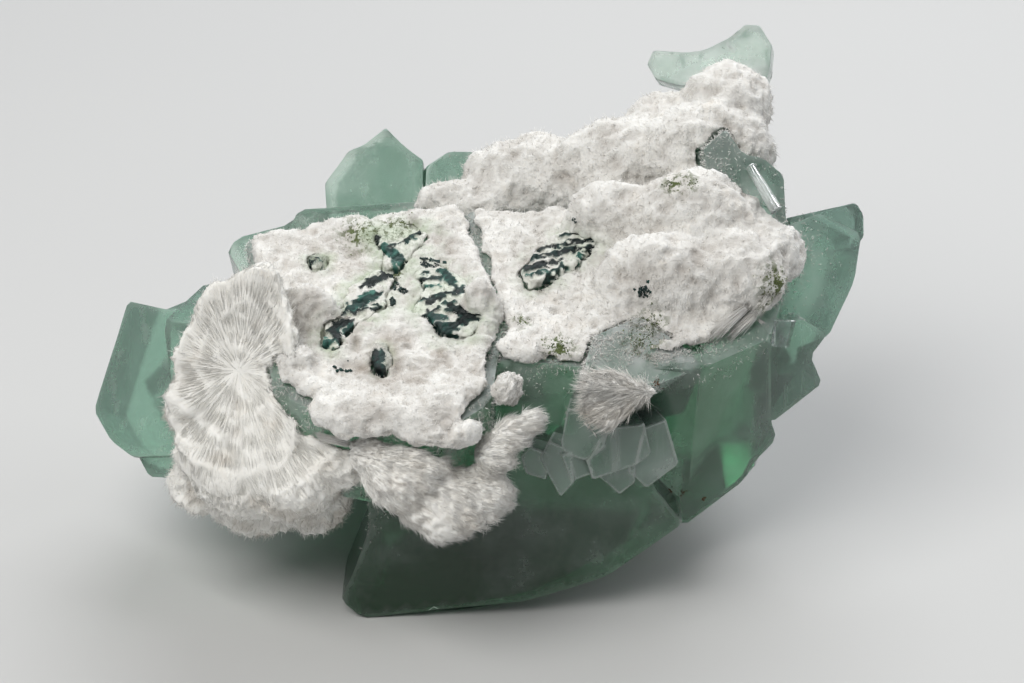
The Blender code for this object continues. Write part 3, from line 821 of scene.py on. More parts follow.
# %% Small blocks as one mesh
def add_block(bodies, row, grow):
    """Adds one block to the bodies, grown by a hair on every side, with its corners cut."""
    at, facing, outline, depth, roll, corner = row
    body = bmesh.new()
    middle = sum((Vector(point) for point in outline), Vector((0, 0))) / len(outline)
    corners = [Vector(point) + (Vector(point) - middle).normalized() * grow for point in outline]
    body.faces.new([body.verts.new((x, y, grow)) for x, y in corners])
    grown = bmesh.ops.extrude_face_region(body, geom=body.faces[:])
    deep = [v for v in grown["geom"] if isinstance(v, bmesh.types.BMVert)]
    bmesh.ops.translate(body, vec=(0, 0, -depth - grow), verts=deep)
    bmesh.ops.recalc_face_normals(body, faces=body.faces)
    bmesh.ops.bevel(body, geom=body.verts[:], offset=corner, affect="VERTICES", segments=1, profile=0.5)
    body.transform(Matrix.Scale(MM, 4) @ facing_matrix(at, facing, roll))
    mesh = bpy.data.meshes.new("block")
    body.to_mesh(mesh)
    body.free()
    bodies.from_mesh(mesh)
    bpy.data.meshes.remove(mesh)


GROWN = 0.05


def small_tone(points):
    return 0.5 + 0.5 * hills(points, 3.0, 8)


def add_small_crystals(name, rows, skin):
    bodies = bmesh.new()
    for row in rows:
        add_block(bodies, row, GROWN)
    mesh = bpy.data.meshes.new(name)
    bodies.to_mesh(mesh)
    bodies.free()
    crystal_skin(mesh, soft=0.06, longest=0.4, wave=0.03, edge_highlight_reach=0.3, tone=small_tone)
    add_piece(name, mesh, skin, ["apophyllite_cluster"])


add_small_crystals("perched_crystals", PERCHED_CRYSTALS, PALE_CRYSTAL)
add_small_crystals("glassy_crystals", GLASSY_CRYSTALS, GLASSY_CRYSTAL)

# %% [markdown]
# ## White crusts
# The crust is a felt of mordenite needles. A fine skin over the solid is moved by several sizes of noise,
# so that it is lumpy and pitted like the real one, and short needles stand all over it. Marks on the points
# carry painted shade, darker where the crust is hollow, and tell the material where the dark mineral beside
# it has stained it.

# %% Pale green stains: each dark patch, and the reach and strength of its stain in the crust
PALE_STAINS = [
    ("celadonite_vein", 1.6, 0.9), ("celadonite_arm", 1.1, 0.75), ("celadonite_lobes", 1.2, 0.75),
    ("celadonite_bean", 0.5, 0.4), ("celadonite_speck", 0.8, 0.6), ("celadonite_blade", 1.1, 0.5),
    ("celadonite_chip", 0.6, 0.3),
]
STAIN_TREES = [
    (tree_of(frame["nodes"][name].data), reach, strength) for name, reach, strength in PALE_STAINS
]
print("dark patches that stain the crust:", len(STAIN_TREES))


def stain_marks(points):
    """How strongly each point is stained, by its distance from the dark patches."""
    marks = np.zeros(len(points))
    for tree, reach, strength in STAIN_TREES:
        for i, point in enumerate(points * MM):
            hit = tree.find_nearest(point, reach * 2 * MM)
            if hit[0] is not None:
                marks[i] = max(marks[i], strength * (1 - hit[3] / (reach * 2 * MM)))
    return np.clip(marks * 1.6 + 0.25 * hills(points, 0.9, 41) * (marks > 0), 0, 1)


# %% Olive tint in the crust: place and radius
OLIVE_SPOTS = [
    ((16.4, -12.0, 31.0), 2.0), ((17.5, -10.2, 31.8), 1.6), ((8.2, -13.0, 30.4), 1.6),
    ((4.6, -9.8, 31.7), 0.9), ((30.0, -6.6, 34.4), 2.0), ((20.5, 0.2, 42.0), 1.6),
    ((-12.0, 2.0, 35.5), 2.2), ((-8.6, 3.0, 35.6), 2.0), ((-8.3, -3.3, 33.4), 1.0),
]


def olive_marks(points):
    marks = np.zeros(len(points))
    for place, radius in OLIVE_SPOTS:
        away = np.linalg.norm(points - np.array(place), axis=1)
        marks = np.maximum(marks, np.clip(1.5 - away / radius, 0, 1))
    return marks


# %% A crust: its skin and its needles
CRUST_SHADE = 0.78
# Needles stand where the skin doesn't face down more than this
FACING_DOWN = -0.35


def crust_relief(points, lump, pit):
    """Height of the crust's lumps and pits at each point."""
    soft = layered_hills(points, 3.2, 11) * lump
    cotton = (np.abs(hills(points, 1.3, 15)) + np.abs(hills(points, 0.62, 17)) * 0.7) * -pit
    return soft + cotton + hills(points, 0.4, 19) * pit * 0.35 + pit * 0.6


def mark_white(mesh, roots, shade):
    """The marks of every white piece. Its shade is partly painted shade and partly random tone. Its stains
    are those of the place where it is rooted.
    """
    set_mark(mesh, "shade", shade)
    set_mark(mesh, "stain", stain_marks(roots) if len(roots) else 0.0)
    set_mark(mesh, "olive", olive_marks(roots))


def painted_grey_shade(points):
    """Painted shade: the lower half of the crust on the left is greyer, in patches."""
    away = ((points[:, 0] + 8) / 7) ** 2 + ((points[:, 1] + 14.5) / 4) ** 2
    return np.exp(-away) * np.clip(0.30 + hills(points, 1.8, 91), 0, 1) * 0.9


def add_crust(node, voxel, lump, pit, count, length, seed, comb=None):
    """A lumpy skin with short needles all over it. A comb draws those on the right one way."""
    rng = np.random.default_rng(seed)
    skin = fine_skin(node, voxel)
    points = read_points(skin) / MM
    relief = crust_relief(points, lump, pit)
    write_points(skin, points + read_points(skin, "normal") * relief[:, None])
    # Painted shade: the crust is darker in its pits and in the grey patches.
    shade = np.clip(CRUST_SHADE - painted_grey_shade(points) + relief / pit * 0.35, 0, 1)
    mark_white(skin, points, shade)
    roots, normals = spread(skin, count, rng)
    upright = normals[:, 2] > FACING_DOWN
    roots, normals = roots[upright], normals[upright]
    lean = normals + rng.normal(size=normals.shape) * 0.75
    if comb is not None:
        lean += np.clip((roots[:, :1] - 12) / 8, 0, 1) * (np.array(comb) + normals * 0.2) * 1.5
    lean = unit(lean)
    lengths = rng.uniform(0.35, 1.0, len(roots)) * length
    widths = rng.uniform(0.022, 0.045, len(roots))
    bends = rng.normal(size=roots.shape) * lengths[:, None] * 0.12
    mesh, at = fibres(f"{node} needles", roots - normals * 0.08, lean, lengths, widths, bends, rng)
    # Painted shade at each needle's root, as on the skin, with random tone added.
    root_shade = CRUST_SHADE - painted_grey_shade(at) + crust_relief(at, lump, pit) / pit * 0.3
    mark_white(mesh, at, np.clip(root_shade + own_shade(at, rng, 0.22), 0, 1))
    add_piece(f"{node}_skin", skin, CRUST_WHITE, [node])
    add_piece(f"{node}_needles", mesh, FIBRE_WHITE)


add_crust("mordenite_roof_crust", voxel=0.24, lump=0.26, pit=0.34, count=17500, length=0.50, seed=5)
add_crust(
    "mordenite_ridge_crust", voxel=0.28, lump=0.30, pit=0.36, count=18500, length=0.85, seed=6,
    comb=(-0.35, -0.6, -0.6))

# %% [markdown]
# ## The sunburst spray
# At the left a fan of silky fibres spreads from one centre. Its skin has pleats that run out from the
# centre and a raised ridge like a finger with a painted highlight, and the silk lies on this skin, each fibre
# bedded on it, so that it shines like combed hair. Below the fan the fibres stand up from cottony lumps.
# The shade marks of the spray are painted shade in its folds, its furrows and a greyer sector of the fan.

# %% Centre and frame of the fan
FAN_PLACE = ((-23.6, -13.28, 28.3), (-20, 24))
FAN = np.array(facing_matrix(*FAN_PLACE))
FAN_CENTRE = FAN[:3, 3]
FAN_AXES = FAN[:3, :3]
print("centre of the fan in mm:", FAN_CENTRE.round(2))


def fan_polar(points):
    """Angle in radians, distance from the centre, and height, of each point seen straight at the fan."""
    local = (points - FAN_CENTRE) @ FAN_AXES
    return np.arctan2(local[:, 1], local[:, 0]), np.hypot(local[:, 0], local[:, 1]), local[:, 2]


def pleats(points):
    """Ridges that run straight out of the fan's centre, at three widths."""
    angle, away, _ = fan_polar(points)
    ring = np.stack([np.cos(angle) * 3, np.sin(angle) * 3, away * 0.05], axis=1)
    coarse = hills(ring, 1.1, 31) * 0.30
    middle = hills(ring, 0.36, 33) * 0.09
    fine = hills(ring, 0.12, 35) * 0.05
    return (coarse + middle + fine) * np.clip(away / 3.0, 0.15, 1)


# %% The spray's skin and fibres
def on_fan(points, normals):
    """From 0 on the lumps below to 1 on the fan's front."""
    _, away, height = fan_polar(points)
    front = np.clip((normals @ FAN_AXES[:, 2] - 0.15) / 0.35, 0, 1)
    return front * np.clip((height + 1.5) / 0.8, 0, 1) * np.clip((13 - away) / 1.0, 0, 1)


FINGER = np.array(((-25.4, -17.2, 22.5), (-31.2, -14.2, 26.3)))


def finger_ridge(points):
    """A ridge of silk that crosses the lower left of the fan like a finger. It raises the skin, and brightens
    the shade marks as a painted highlight.
    """
    start, along = FINGER[0], FINGER[1] - FINGER[0]
    share = np.clip((points - start) @ along / (along @ along), 0, 1)
    away = np.linalg.norm(points - start - share[:, None] * along, axis=1)
    return np.exp(-(away / 0.75) ** 2)


# Painted shade: dark patches in the cotton below the fan, as in shaded folds.
def painted_fold_shade(points):
    return np.clip(hills(points, 2.4, 37) * 1.6, 0, 0.5)


def spray_skin():
    """Pleats and the finger on the fan, and cottony lumps below it."""
    skin = fine_skin("mordenite_spray", 0.20)
    points = read_points(skin) / MM
    normals = read_points(skin, "normal")
    share = on_fan(points, normals)
    cotton = crust_relief(points, 0.35, 0.45)
    ridge = finger_ridge(points)
    relief = pleats(points) * share + cotton * (1 - share) + ridge * 0.7
    write_points(skin, points + normals * relief[:, None])
    folds = painted_fold_shade(points) * (1 - share)
    # Painted light: darker in the cotton's folds and the pleats' furrows, brighter on ridges and on the
    # finger.
    mark_white(skin, points, np.clip(0.88 - folds + relief * 0.25 + ridge * 0.2, 0, 1))
    return skin


# %% Silk on the fan and cotton below it
# A sector of the fan that is greyed as painted shade: its middle and half width in radians
PAINTED_SHADE_SECTOR = (3.3, 0.45)
FULL_TURN = 6.283
COTTON_CENTRE = FAN_CENTRE + np.array((2, 1.2, -5))


def silk_fibres(roots, out, bed, rng):
    """Long fine fibres that run away from the fan's centre and lie on its skin."""
    flow = along_surface(unit(roots - FAN_CENTRE), out)
    along = unit(flow + rng.normal(size=roots.shape) * 0.014)
    lengths = rng.uniform(1.2, 3.4, len(roots))
    widths = rng.uniform(0.012, 0.028, len(roots))
    mesh, at = fibres("silk", roots, along, lengths, widths, along * 0.0, rng, bed)
    angle, away, _ = fan_polar(at)
    middle, half_width = PAINTED_SHADE_SECTOR
    sector_shade = np.exp(-(((angle % FULL_TURN) - middle) / half_width) ** 2) * np.clip(away / 4, 0, 1) * 0.35
    # Painted light: greyer in the shaded sector and the pleats' furrows, brighter on the finger ridge, with
    # random tone.
    shade = 0.97 - sector_shade + 0.3 * pleats(at) + own_shade(at, rng, 0.05) + finger_ridge(at)
    mark_white(mesh, at, np.clip(shade, 0, 1))
    return mesh


def cotton_fibres(roots, out, rng):
    """Short ragged fibres that stand up from the lumps."""
    flow = along_surface(unit(roots - COTTON_CENTRE), out)
    ragged = rng.normal(size=roots.shape)
    along = unit(flow + out * 0.4 + ragged * 0.36)
    lengths = rng.uniform(0.35, 0.95, len(roots))
    widths = rng.uniform(0.018, 0.035, len(roots))
    mesh, at = fibres("cotton", roots, along, lengths, widths, ragged[:, ::-1] * 0.12, rng)
    # Painted shade in the cotton's folds, with random tone.
    mark_white(mesh, at, np.clip(0.95 - painted_fold_shade(at) + own_shade(at, rng, 0.08), 0, 1))
    return mesh


# %% The dressed spray
SPRAY_ROOTS = 26000
COTTON_COUNT = 8000


def add_spray():
    rng = np.random.default_rng(12)
    skin = spray_skin()
    roots, out = spread(skin, SPRAY_ROOTS, rng)
    share = on_fan(roots, out)
    in_front = (out[:, 1] < 0.55) | (out[:, 2] > 0.2)
    silky = in_front & (share > 0.5)
    cottony = np.flatnonzero(in_front & (share <= 0.5))[:COTTON_COUNT]
    silk = silk_fibres(roots[silky], out[silky], tree_of(skin), rng)
    add_piece("mordenite_spray_silk", silk, SILK_WHITE)
    cotton = cotton_fibres(roots[cottony], out[cottony], rng)
    add_piece("mordenite_spray_skin", skin, SILK_WHITE, ["mordenite_spray"])
    add_piece("mordenite_spray_fibres", cotton, FIBRE_WHITE)


add_spray()

# %% [markdown]
# ## The puff, the tuft and the nub
# The puff in front is a wad of fibres that hangs from its left end, with a finger that points up to the
# right. The small tuft at the right opens to the left from one root. The nub is a short granular stub.
# One function makes all three: a streaked skin, with fibres that run away from the root along it. On most
# of the puff and the tuft, more than half of the fibres lie on the skin, so that it looks combed, and the
# others stand up a little and keep it ragged.


# %% Wads of fibres
LYING_SHARE = 0.6


def painted_shade_below_root(points, start):
    """Painted shade under a wad's root: from 0 on points level with the root to 1 on those well below it."""
    return np.clip((start[2] - 0.6 - points[:, 2]) / 1.2, 0, 1)


def add_wad(node, origin, finish, voxel, rough, count, reach, lift, loose, seed, settled=0, waist=None):
    """A wad whose fibres run away from its origin along its surface.

    Most fibres lie down up to the settled distance right of the origin. A waist narrows it to its root.
    """
    rng = np.random.default_rng(seed)
    skin = fine_skin(node, voxel)
    points = read_points(skin) / MM
    normals = read_points(skin, "normal")
    start = np.array(Vector(origin) + LAYOUT_SHIFT)
    rays = unit(points - start)
    streaks = hills(rays * 3, 0.35, seed) * rough + hills(rays * 3, 0.12, seed + 1) * rough * 0.5
    relief = streaks + crust_relief(points, rough * 0.6, rough * 0.8)
    points = points + normals * relief[:, None]
    if waist:
        narrow = np.clip((start[0] + 0.3 - points[:, :1]) / waist, 0.22, 1) ** 0.7
        points[:, 1:] = start[1:] + (points[:, 1:] - start[1:]) * narrow
    write_points(skin, points)
    # Painted shade: the tuft's lower lobe, below its root, and the skin's streak furrows are darker.
    low = painted_shade_below_root(points, start) * (0.42 if waist else 0)
    mark_white(skin, points, np.clip(0.80 - low + relief / rough * 0.22, 0, 1))
    roots, out = spread(skin, count, rng)
    flow = unit(roots - start)
    if waist:
        flow = unit(-np.abs(flow) * (1, 0, 0) + flow * (0, 1, 1) - np.array((0.4, 0, 0)))
    ragged = rng.normal(size=roots.shape)
    along = unit(along_surface(flow, out) + out * lift + ragged * loose)
    lengths = rng.uniform(0.4, 1.0, count) * reach
    bends = -out * (lengths * lift * 0.6)[:, None] + ragged[:, ::-1] * lengths[:, None] * 0.05
    widths = rng.uniform(0.015, 0.032, count)
    lying = (roots[:, 0] < start[0] + settled) & (rng.random(count) < LYING_SHARE)
    mesh, at = fibres(f"{node} fibres", roots, along, lengths, widths, bends, rng, tree_of(skin), lying)
    tint = 0.86 + 0.35 * hills(at, 1.6, seed + 3) + own_shade(at, rng, 0.16)
    # Painted shade: the tuft's fibres below its root are darker.
    low = painted_shade_below_root(at, start) * (0.5 if waist else 0)
    mark_white(mesh, at, np.clip(tint - low, 0, 1))
    add_piece(f"{node}_skin", skin, finish, [node])
    add_piece(f"{node}_fibres", mesh, FIBRE_WHITE)


add_wad(
    "mordenite_puff", (-13.0, -20.4, 23.6), SILK_WHITE, voxel=0.16, rough=0.30, count=15500, reach=1.5,
    lift=0.07, loose=0.10, seed=23, settled=4)
add_wad(
    "mordenite_tuft", (16.7, -17.6, 28.5), SILK_WHITE, voxel=0.10, rough=0.30, count=8500, reach=2.2,
    lift=0.03, loose=0.03, seed=25, settled=-0.4, waist=3.4)
add_wad(
    "mordenite_nub", (4.4, -16.4, 31.4), CRUST_WHITE, voxel=0.10, rough=0.22, count=3500, reach=0.35,
    lift=0.6, loose=0.6, seed=27)

# %% [markdown]
# ## Celadonite patches
# The dark patches are folded and lobed, like moss pressed into the crust. Each is a fine skin over its
# solid, swollen into lobes by noise without its sign, so that narrow cracks run where the noise crosses
# zero. On the real specimen a patch isn't one dark area but a group of short dark strokes in the white
# crust. So a solid shows dark folds only along its strokes, and elsewhere white crust with its needles.
# The small chip has no strokes and is dark all over.

# %% Dark strokes of each patch: both ends seen from above and half width in millimetres, and tone
DARK_STROKES = {
    "celadonite_vein": [
        (-10.7, 1.9, -9.9, 0.4, 0.23, 0.15), (-9.2, -0.4, -5.9, 2.3, 0.17, 0.1),
        (-9.9, 0.0, -7.6, -2.1, 0.50, 0.8), (-7.4, 0.8, -6.3, 1.4, 0.28, 0.6),
        (-8.5, -1.7, -8.1, -3.3, 0.22, 0.9),
    ],
    "celadonite_arm": [
        (-11.3, -5.5, -8.8, -3.8, 0.54, 0.1), (-8.8, -3.8, -8.4, -4.4, 0.23, 0.2),
        (-12.6, -8.5, -10.0, -6.9, 0.54, 0.55), (-12.3, -9.2, -10.0, -8.4, 0.30, 0.15),
        (-11.7, -7.1, -10.3, -6.5, 0.24, 0.8), (-13.8, -10.3, -13.3, -9.0, 0.20, 0.3),
        (-14.3, -11.6, -12.7, -10.6, 0.43, 0.1), (-13.8, -10.6, -13.6, -13.1, 0.37, 0.15),
        (-14.8, -13.2, -12.7, -13.4, 0.26, 0.65), (-13.0, -12.1, -12.5, -11.0, 0.26, 0.6),
    ],
    "celadonite_lobes": [
        (-5.8, -4.6, -3.6, -4.5, 0.26, 0.3), (-5.6, -4.0, -4.8, -3.8, 0.20, 0.5),
        (-3.4, -3.5, -2.5, -5.2, 0.46, 0.6), (-2.5, -5.2, -1.4, -6.4, 0.40, 0.45),
        (-5.8, -7.5, -1.8, -6.4, 0.26, 0.2), (-6.4, -8.1, -5.0, -7.2, 0.23, 0.7),
        (-5.5, -5.8, -3.8, -5.4, 0.17, 0.75), (-4.8, -7.9, -3.1, -6.7, 0.29, 0.1),
        (-5.9, -10.2, -3.3, -10.0, 0.57, 0.75), (-5.1, -9.6, -4.1, -8.7, 0.29, 0.2),
        (-2.5, -8.5, -0.3, -9.8, 0.60, 0.1), (-2.9, -11.6, -1.0, -10.2, 0.51, 0.3),
        (-0.9, -8.0, 0.3, -7.5, 0.23, 0.6), (-4.4, -11.0, -3.0, -11.2, 0.29, 0.5),
        (-3.4, -8.1, -2.2, -7.9, 0.23, 0.5),
    ],
    "celadonite_bean": [(-10.1, -14.9, -9.7, -17.1, 0.46, 0.10), (-9.3, -14.5, -9.1, -17.1, 0.34, 0.40)],
    "celadonite_speck": [(-17.5, -2.8, -16.5, -1.8, 0.32, 0.15), (-16.2, -1.9, -15.6, -2.3, 0.24, 0.70)],
    "celadonite_blade": [
        (5.0, -3.3, 8.5, -2.1, 0.36, 0.1), (5.0, -2.1, 10.2, -0.1, 0.25, 0.3),
        (6.3, -0.5, 11.9, 1.0, 0.29, 0.15), (7.0, -4.0, 11.2, -1.5, 0.25, 0.5),
        (8.6, 1.4, 11.1, 1.9, 0.22, 0.4), (7.3, -1.5, 12.5, 0.2, 0.25, 0.1),
        (5.4, -4.3, 7.0, -3.5, 0.20, 0.6), (10.1, -1.5, 12.5, -0.4, 0.18, 0.6),
    ],
}
print("dark strokes:", {name: len(strokes) for name, strokes in DARK_STROKES.items()})


# %% Folded lobes
def stroke_depth(points, strokes):
    """How far inside the nearest dark stroke each point lies, seen from above, and that stroke's tone."""
    depth, tone = np.full(len(points), -9.0), np.zeros(len(points))
    for x0, y0, x1, y1, width, own_tone in strokes:
        start, along = np.array((x0, y0)), np.array((x1 - x0, y1 - y0))
        share = np.clip((points[:, :2] - start) @ along / (along @ along), 0, 1)
        inside = width * 1.1 - np.linalg.norm(points[:, :2] - start - share[:, None] * along, axis=1)
        nearer = inside > depth
        depth[nearer], tone[nearer] = inside[nearer], own_tone
    return depth, tone


COVER_NEEDLES = 900


def add_patch(node, seed):
    """Gives a patch its folds. Where no stroke runs, white crust covers it. Returns places for needles."""
    skin = fine_skin(node, 0.12)
    points = read_points(skin) / MM
    normals = read_points(skin, "normal")
    turned = points @ np.array([(0.8, 0.6, 0), (-0.6, 0.8, 0), (0, 0, 1)]) * (1.0, 0.45, 1.0)
    lobes = np.clip(np.abs(layered_hills(turned, 1.1, seed, 2)) * 3.2, 0, 1) ** 0.5
    folds = np.clip(np.abs(hills(turned, 0.5, seed + 5)) * 3, 0, 1) ** 0.5
    up = np.clip(normals[:, 2], 0, 1)
    depth, tone = np.full(len(points), 0.3), np.full(len(points), 0.15)
    if node in DARK_STROKES:
        ragged = np.stack([hills(points, 0.45, seed + 13), hills(points, 0.45, seed + 14)], axis=1) * 0.45
        depth, tone = stroke_depth(points + np.pad(ragged, ((0, 0), (0, 1))), DARK_STROKES[node])
    dark = np.clip(depth / 0.10 + 0.5, 0, 1)
    fold_relief = (lobes * 0.30 + folds * 0.20 - 0.28) * (0.3 + 0.7 * up)
    relief = fold_relief * dark + (crust_relief(points, 0.18, 0.25) + 0.02 + 0.22 * (1 - up)) * (1 - dark)
    relief += hills(points, 0.8, seed + 9) * 0.3 * (1 - up)
    write_points(skin, points + normals * relief[:, None])
    rim = np.exp(-((depth - 0.05) / 0.09) ** 2) * 0.35
    # Painted shade: the teal is darker in the cracks between lobes and folds; the pale rim is the mineral's
    # own.
    green = tone * 0.85 + (lobes + folds - 1) * 0.16 + rim
    # Painted shade where crust covers the patch: darker in its pits.
    mark_white(skin, points, np.clip(np.where(dark > 0.5, green, 0.80 + relief), 0, 1))
    set_mark(skin, "cover", 1 - dark)
    add_piece(f"{node}_folds", skin, CELADONITE, [node])
    if dark.min() >= 0.5:
        return None
    return spread(skin, COVER_NEEDLES, np.random.default_rng(seed), np.clip(1 - dark, 0, 1) * up)


def add_patches():
    rng = np.random.default_rng(49)
    spots = [add_patch(name, 50 + order * 3) for order, (name, _, _) in enumerate(PALE_STAINS)]
    roots, out = (np.concatenate(values) for values in zip(*(spot for spot in spots if spot is not None)))
    lean = unit(out + rng.normal(size=out.shape) * 0.8)
    mesh, at = fibres(
        "cover needles", roots - out * 0.05, lean, rng.uniform(0.15, 0.4, len(roots)),
        rng.uniform(0.02, 0.04, len(roots)), lean * 0.0, rng)
    mark_white(mesh, at, np.clip(0.85 + own_shade(at, rng, 0.15), 0, 1))
    add_piece("mordenite_cover_needles", mesh, FIBRE_WHITE)


add_patches()

# %% [markdown]
# ## Frost, needles and specks
# Where the crust ends, it thins out to single needles on the green. They are scattered by the frost mark
# of the crystals, and a short ray straight out from the surface keeps only those in the open. A few sheaves
# of longer needles stand at the front and the right, two tiny white ones on the perched crystals are painted
# glints, a smooth pale rod leans on the upper crystal, and grains of olive, rust and dark green mineral lie
# on the surface that is nearest to them.


# %% Needles that thin out over the green
# White mineral within this many millimetres above a place would hide its needle
HIDING_REACH = 0.4


def uncovered(places, out, reach):
    """Keeps the places with no white mineral straight above them within the reach."""
    keep = np.ones(len(places), dtype=bool)
    for i, (place, way) in enumerate(zip(places + out * 0.03, out)):
        start, way = Vector(place * MM), Vector(way)
        keep[i] = all(tree.ray_cast(start, way, reach * MM)[0] is None for tree in WHITE_TREES)
    return keep


def add_frost(name, mesh, count, seed):
    """Needles on a crystal, thickest where its frost mark is high. Five places are tried for each."""
    rng = np.random.default_rng(seed)
    share = np.empty(len(mesh.vertices), dtype=np.float32)
    mesh.attributes["frost"].data.foreach_get("value", share)
    patchy = np.clip(hills(read_points(mesh) / MM, 1.6, 63) * 1.5 + 0.75, 0, 1)
    roots, out = spread(mesh, count * 5, rng, share**1.4 * patchy)
    open_air = np.flatnonzero(uncovered(roots, out, HIDING_REACH))[:count]
    roots, out = roots[open_air], out[open_air]
    print(f"{name}: {len(roots)} needles in the open")
    lean = unit(out * 0.6 + rng.normal(size=out.shape) * 0.7)
    lengths = rng.uniform(0.15, 0.60, len(roots))
    widths = rng.uniform(0.02, 0.05, len(roots))
    mesh, at = fibres("frost", roots - out * 0.03, lean, lengths, widths, lean * 0.0, rng)
    mark_white(mesh, at, np.clip(0.9 + own_shade(at, rng, 0.1), 0, 1))
    add_piece(name, mesh, FIBRE_WHITE)


add_frost("mordenite_frost", GREEN_BLOCKS, 19500, 61)
add_frost("mordenite_perched_frost", bpy.data.objects["perched_crystals"].data, 5000, 62)

# %% Sheaves: root, tip, spread at the root and at the tip, count and width
SHEAVES = [
    ((26.8, -8.3, 32.1), (22.7, -11.5, 30.1), 0.35, 0.75, 260, 0.05),
    ((28.0, -7.9, 31.4), (24.8, -10.6, 29.7), 0.30, 0.60, 200, 0.05),
    ((29.6, -6.8, 33.2), (27.8, -9.0, 31.6), 0.30, 0.70, 160, 0.045),
    ((28.4, -7.8, 30.6), (30.1, -7.6, 29.3), 0.12, 0.25, 50, 0.05),
    ((-12.6, -20.8, 24.2), (-16.2, -19.6, 24.4), 0.35, 0.30, 180, 0.05),
    ((0.6, -22.6, 19.6), (2.9, -22.6, 18.6), 0.55, 0.08, 120, 0.04),
    ((5.0, -20.2, 26.3), (6.9, -20.4, 26.9), 0.60, 0.30, 160, 0.035),
    ((16.8, -17.5, 28.4), (15.2, -17.2, 25.9), 0.15, 0.60, 120, 0.035),
    # Painted glints: these two tiny white sheaves on the perched crystals stand in for their glints.
    ((10.7, -16.95, 24.1), (11.6, -17.2, 23.2), 0.06, 0.10, 14, 0.03),
    ((11.6, -17.2, 23.2), (12.1, -17.3, 22.4), 0.06, 0.10, 14, 0.03),
]


def add_sheaves():
    rng = np.random.default_rng(71)
    roots, tips, widths = [], [], []
    for root, tip, at_root, at_tip, count, width in SHEAVES:
        offset = rng.normal(size=(count, 3))
        roots.append(np.array(root) + offset * at_root * 0.5)
        shorter = rng.uniform(0.0, 0.35, (count, 1))
        tips.append(np.array(tip) + offset * at_tip * 0.5 + (np.array(root) - np.array(tip)) * shorter)
        widths.append(rng.uniform(0.5, 1.0, count) * width)
    roots, tips, widths = np.concatenate(roots), np.concatenate(tips), np.concatenate(widths)
    lengths = np.linalg.norm(tips - roots, axis=1)
    bends = rng.normal(size=roots.shape) * lengths[:, None] * 0.04
    mesh, at = fibres("sheaves", roots, unit(tips - roots), lengths, widths, bends, rng)
    mark_white(mesh, at, np.clip(0.92 + own_shade(at, rng, 0.1), 0, 1))
    add_piece("mordenite_sheaves", mesh, FIBRE_WHITE)


add_sheaves()


# %% Pale rod
ROD_ENDS = (Vector((27.9, 3.5, 42.2)), Vector((30.4, 0.1, 39.0)))
ROD_RADII = (0.48, 0.62)


def add_rod():
    start, end = ROD_ENDS
    body = bmesh.new()
    bmesh.ops.create_cone(
        body, cap_ends=True, segments=10, radius1=ROD_RADII[0], radius2=ROD_RADII[1],
        depth=(end - start).length)
    turn = (end - start).to_track_quat("Z", "Y").to_matrix().to_4x4()
    body.transform(Matrix.Scale(MM, 4) @ Matrix.Translation((start + end) / 2) @ turn)
    bmesh.ops.bevel(body, geom=body.edges[:], offset=0.08 * MM, affect="EDGES", segments=2, profile=0.5)
    bmesh.ops.subdivide_edges(body, edges=body.edges[:], cuts=2, use_grid_fill=True)
    mesh = bpy.data.meshes.new("rod")
    body.to_mesh(mesh)
    body.free()
    points = read_points(mesh) / MM
    write_points(mesh, points + read_points(mesh, "normal") * hills(points, 0.7, 77)[:, None] * 0.06)
    mesh.shade_smooth()
    for name, value in (("tone", 1.0), ("edge", 1.0), ("frost", 1.0)):
        set_mark(mesh, name, value)
    add_piece("white_rod", mesh, PALE_CRYSTAL)


add_rod()

# %% Grains: place, radius of the group, count and size. Streaks: both ends from above, and width
OLIVE_GROUPS = [
    ((16.4, -12.0, 31.0), 1.7, 190, 0.10), ((17.5, -10.4, 31.7), 1.3, 120, 0.10),
    ((8.2, -13.0, 30.4), 1.2, 170, 0.11), ((4.6, -9.8, 31.7), 0.6, 40, 0.09),
    ((19.4, 0.4, 42.0), 0.7, 30, 0.10), ((21.8, -0.2, 42.2), 0.6, 26, 0.10),
    ((30.0, -6.6, 34.8), 1.2, 80, 0.11), ((29.3, -7.2, 33.1), 0.9, 60, 0.11),
    ((-12.1, 2.0, 35.5), 1.8, 110, 0.09), ((-8.0, 3.4, 35.6), 1.5, 90, 0.09),
    ((-8.3, -3.3, 33.4), 0.8, 36, 0.09),
]
RUST_GROUPS = [
    ((19.9, -10.6, 12.0), 0.30, 7, 0.16), ((21.3, -9.7, 11.2), 0.45, 9, 0.14),
    ((23.6, -8.6, 9.7), 0.25, 6, 0.16), ((17.8, -15.3, 27.8), 0.45, 22, 0.12),
    ((18.6, -13.9, 26.2), 0.25, 8, 0.12), ((5.8, -2.0, 40.0), 0.6, 10, 0.12),
]
DARK_STREAKS = [
    ((-5.5, -2.3), (-4.1, -2.9), 0.32), ((-5.5, -1.5), (-3.5, -1.7), 0.16),
    ((-8.4, -5.0), (-7.2, -6.4), 0.25), ((-8.4, -7.3), (-8.4, -7.9), 0.22),
    ((-13.4, -16.2), (-12.7, -16.2), 0.20),
]
DARK_GROUPS = [((10.0, 1.6, 37.1), 0.3, 14, 0.16), ((16.7, -8.5, 34.4), 0.6, 60, 0.2)]
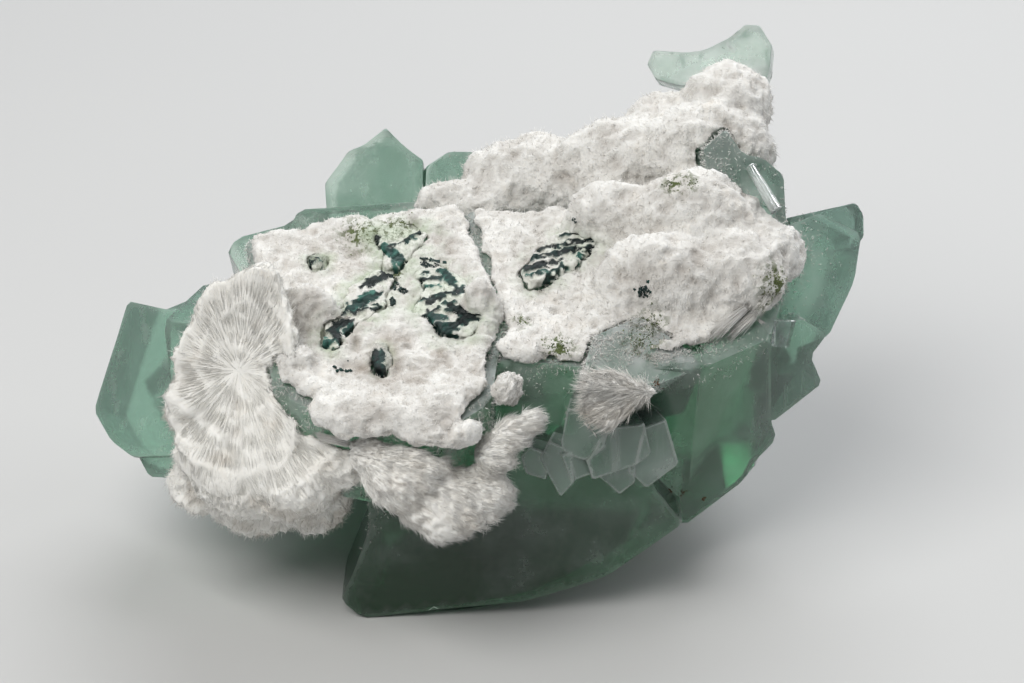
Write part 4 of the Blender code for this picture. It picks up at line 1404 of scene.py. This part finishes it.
# The roof's height where y is 0, and its slope to the back
ROOF_HEIGHT, ROOF_SLOPE = 34.9, 0.266
for start, end, width in DARK_STREAKS:
    for share in np.linspace(0, 1, 7):
        x, y = np.array(start) * (1 - share) + np.array(end) * share
        DARK_GROUPS.append(((x, y, ROOF_HEIGHT + ROOF_SLOPE * y), width, 14, 0.19))
CARRIERS = [
    tree_of(obj.data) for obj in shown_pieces()
    if obj.name.endswith("_skin") or obj.name in ("green_crystals", "perched_crystals")
]
print("surfaces that carry grains:", len(CARRIERS))


# Grains further from every carrier than this are left out
GRAIN_REACH = 3


def add_grains(name, groups, skin, seed):
    """Lays each group's grains on the nearest carrier, with half of every grain sunk in it."""
    rng = np.random.default_rng(seed)
    centres, sizes = [], []
    for place, radius, count, size in groups:
        for offset in rng.normal(size=(count, 3)) * radius * 0.5:
            point = Vector(np.array(place) + offset) * MM
            hits = [tree.find_nearest(point, GRAIN_REACH * MM) for tree in CARRIERS]
            hits = [hit for hit in hits if hit[0] is not None]
            if hits:
                centres.append(np.array(min(hits, key=lambda hit: hit[3])[0]) / MM)
                sizes.append(size * rng.uniform(0.5, 1.3))
    mesh = grains(name, np.array(centres), np.array(sizes), rng)
    set_mark(mesh, "shade", 0.55)
    add_piece(name, mesh, skin)


add_grains("olive_grains", OLIVE_GROUPS, OLIVE_GRAIN, 81)
add_grains("rust_grains", RUST_GROUPS, RUST_GRAIN, 82)
add_grains("celadonite_flecks", DARK_GROUPS, CELADONITE, 83)

# %% [markdown]
# ## Floor
# A plain pale sheet of card, large enough to fill the picture. It is only the stage, so it isn't part of
# the specimen.


# %% Pale floor
def add_floor():
    made, tree, shader = new_material("pale paper")
    mottle = noise_node(tree, 6, 3.0, 0.5).outputs["Fac"]
    colour = mixed(tree, mottle, (0.54, 0.54, 0.54, 1), (0.58, 0.58, 0.57, 1))
    tree.links.new(colour, shader.inputs["Base Color"])
    shader.inputs["Roughness"].default_value = 0.8
    mesh = bpy.data.meshes.new("floor")
    mesh.from_pydata([(-3, -3, 0), (3, -3, 0), (3, 3, 0), (-3, 3, 0)], [], [(0, 1, 2, 3)])
    mesh.materials.append(made)
    floor = bpy.data.objects.new("floor", mesh)
    bpy.context.scene.collection.objects.link(floor)
    print("floor:", floor.name)


add_floor()
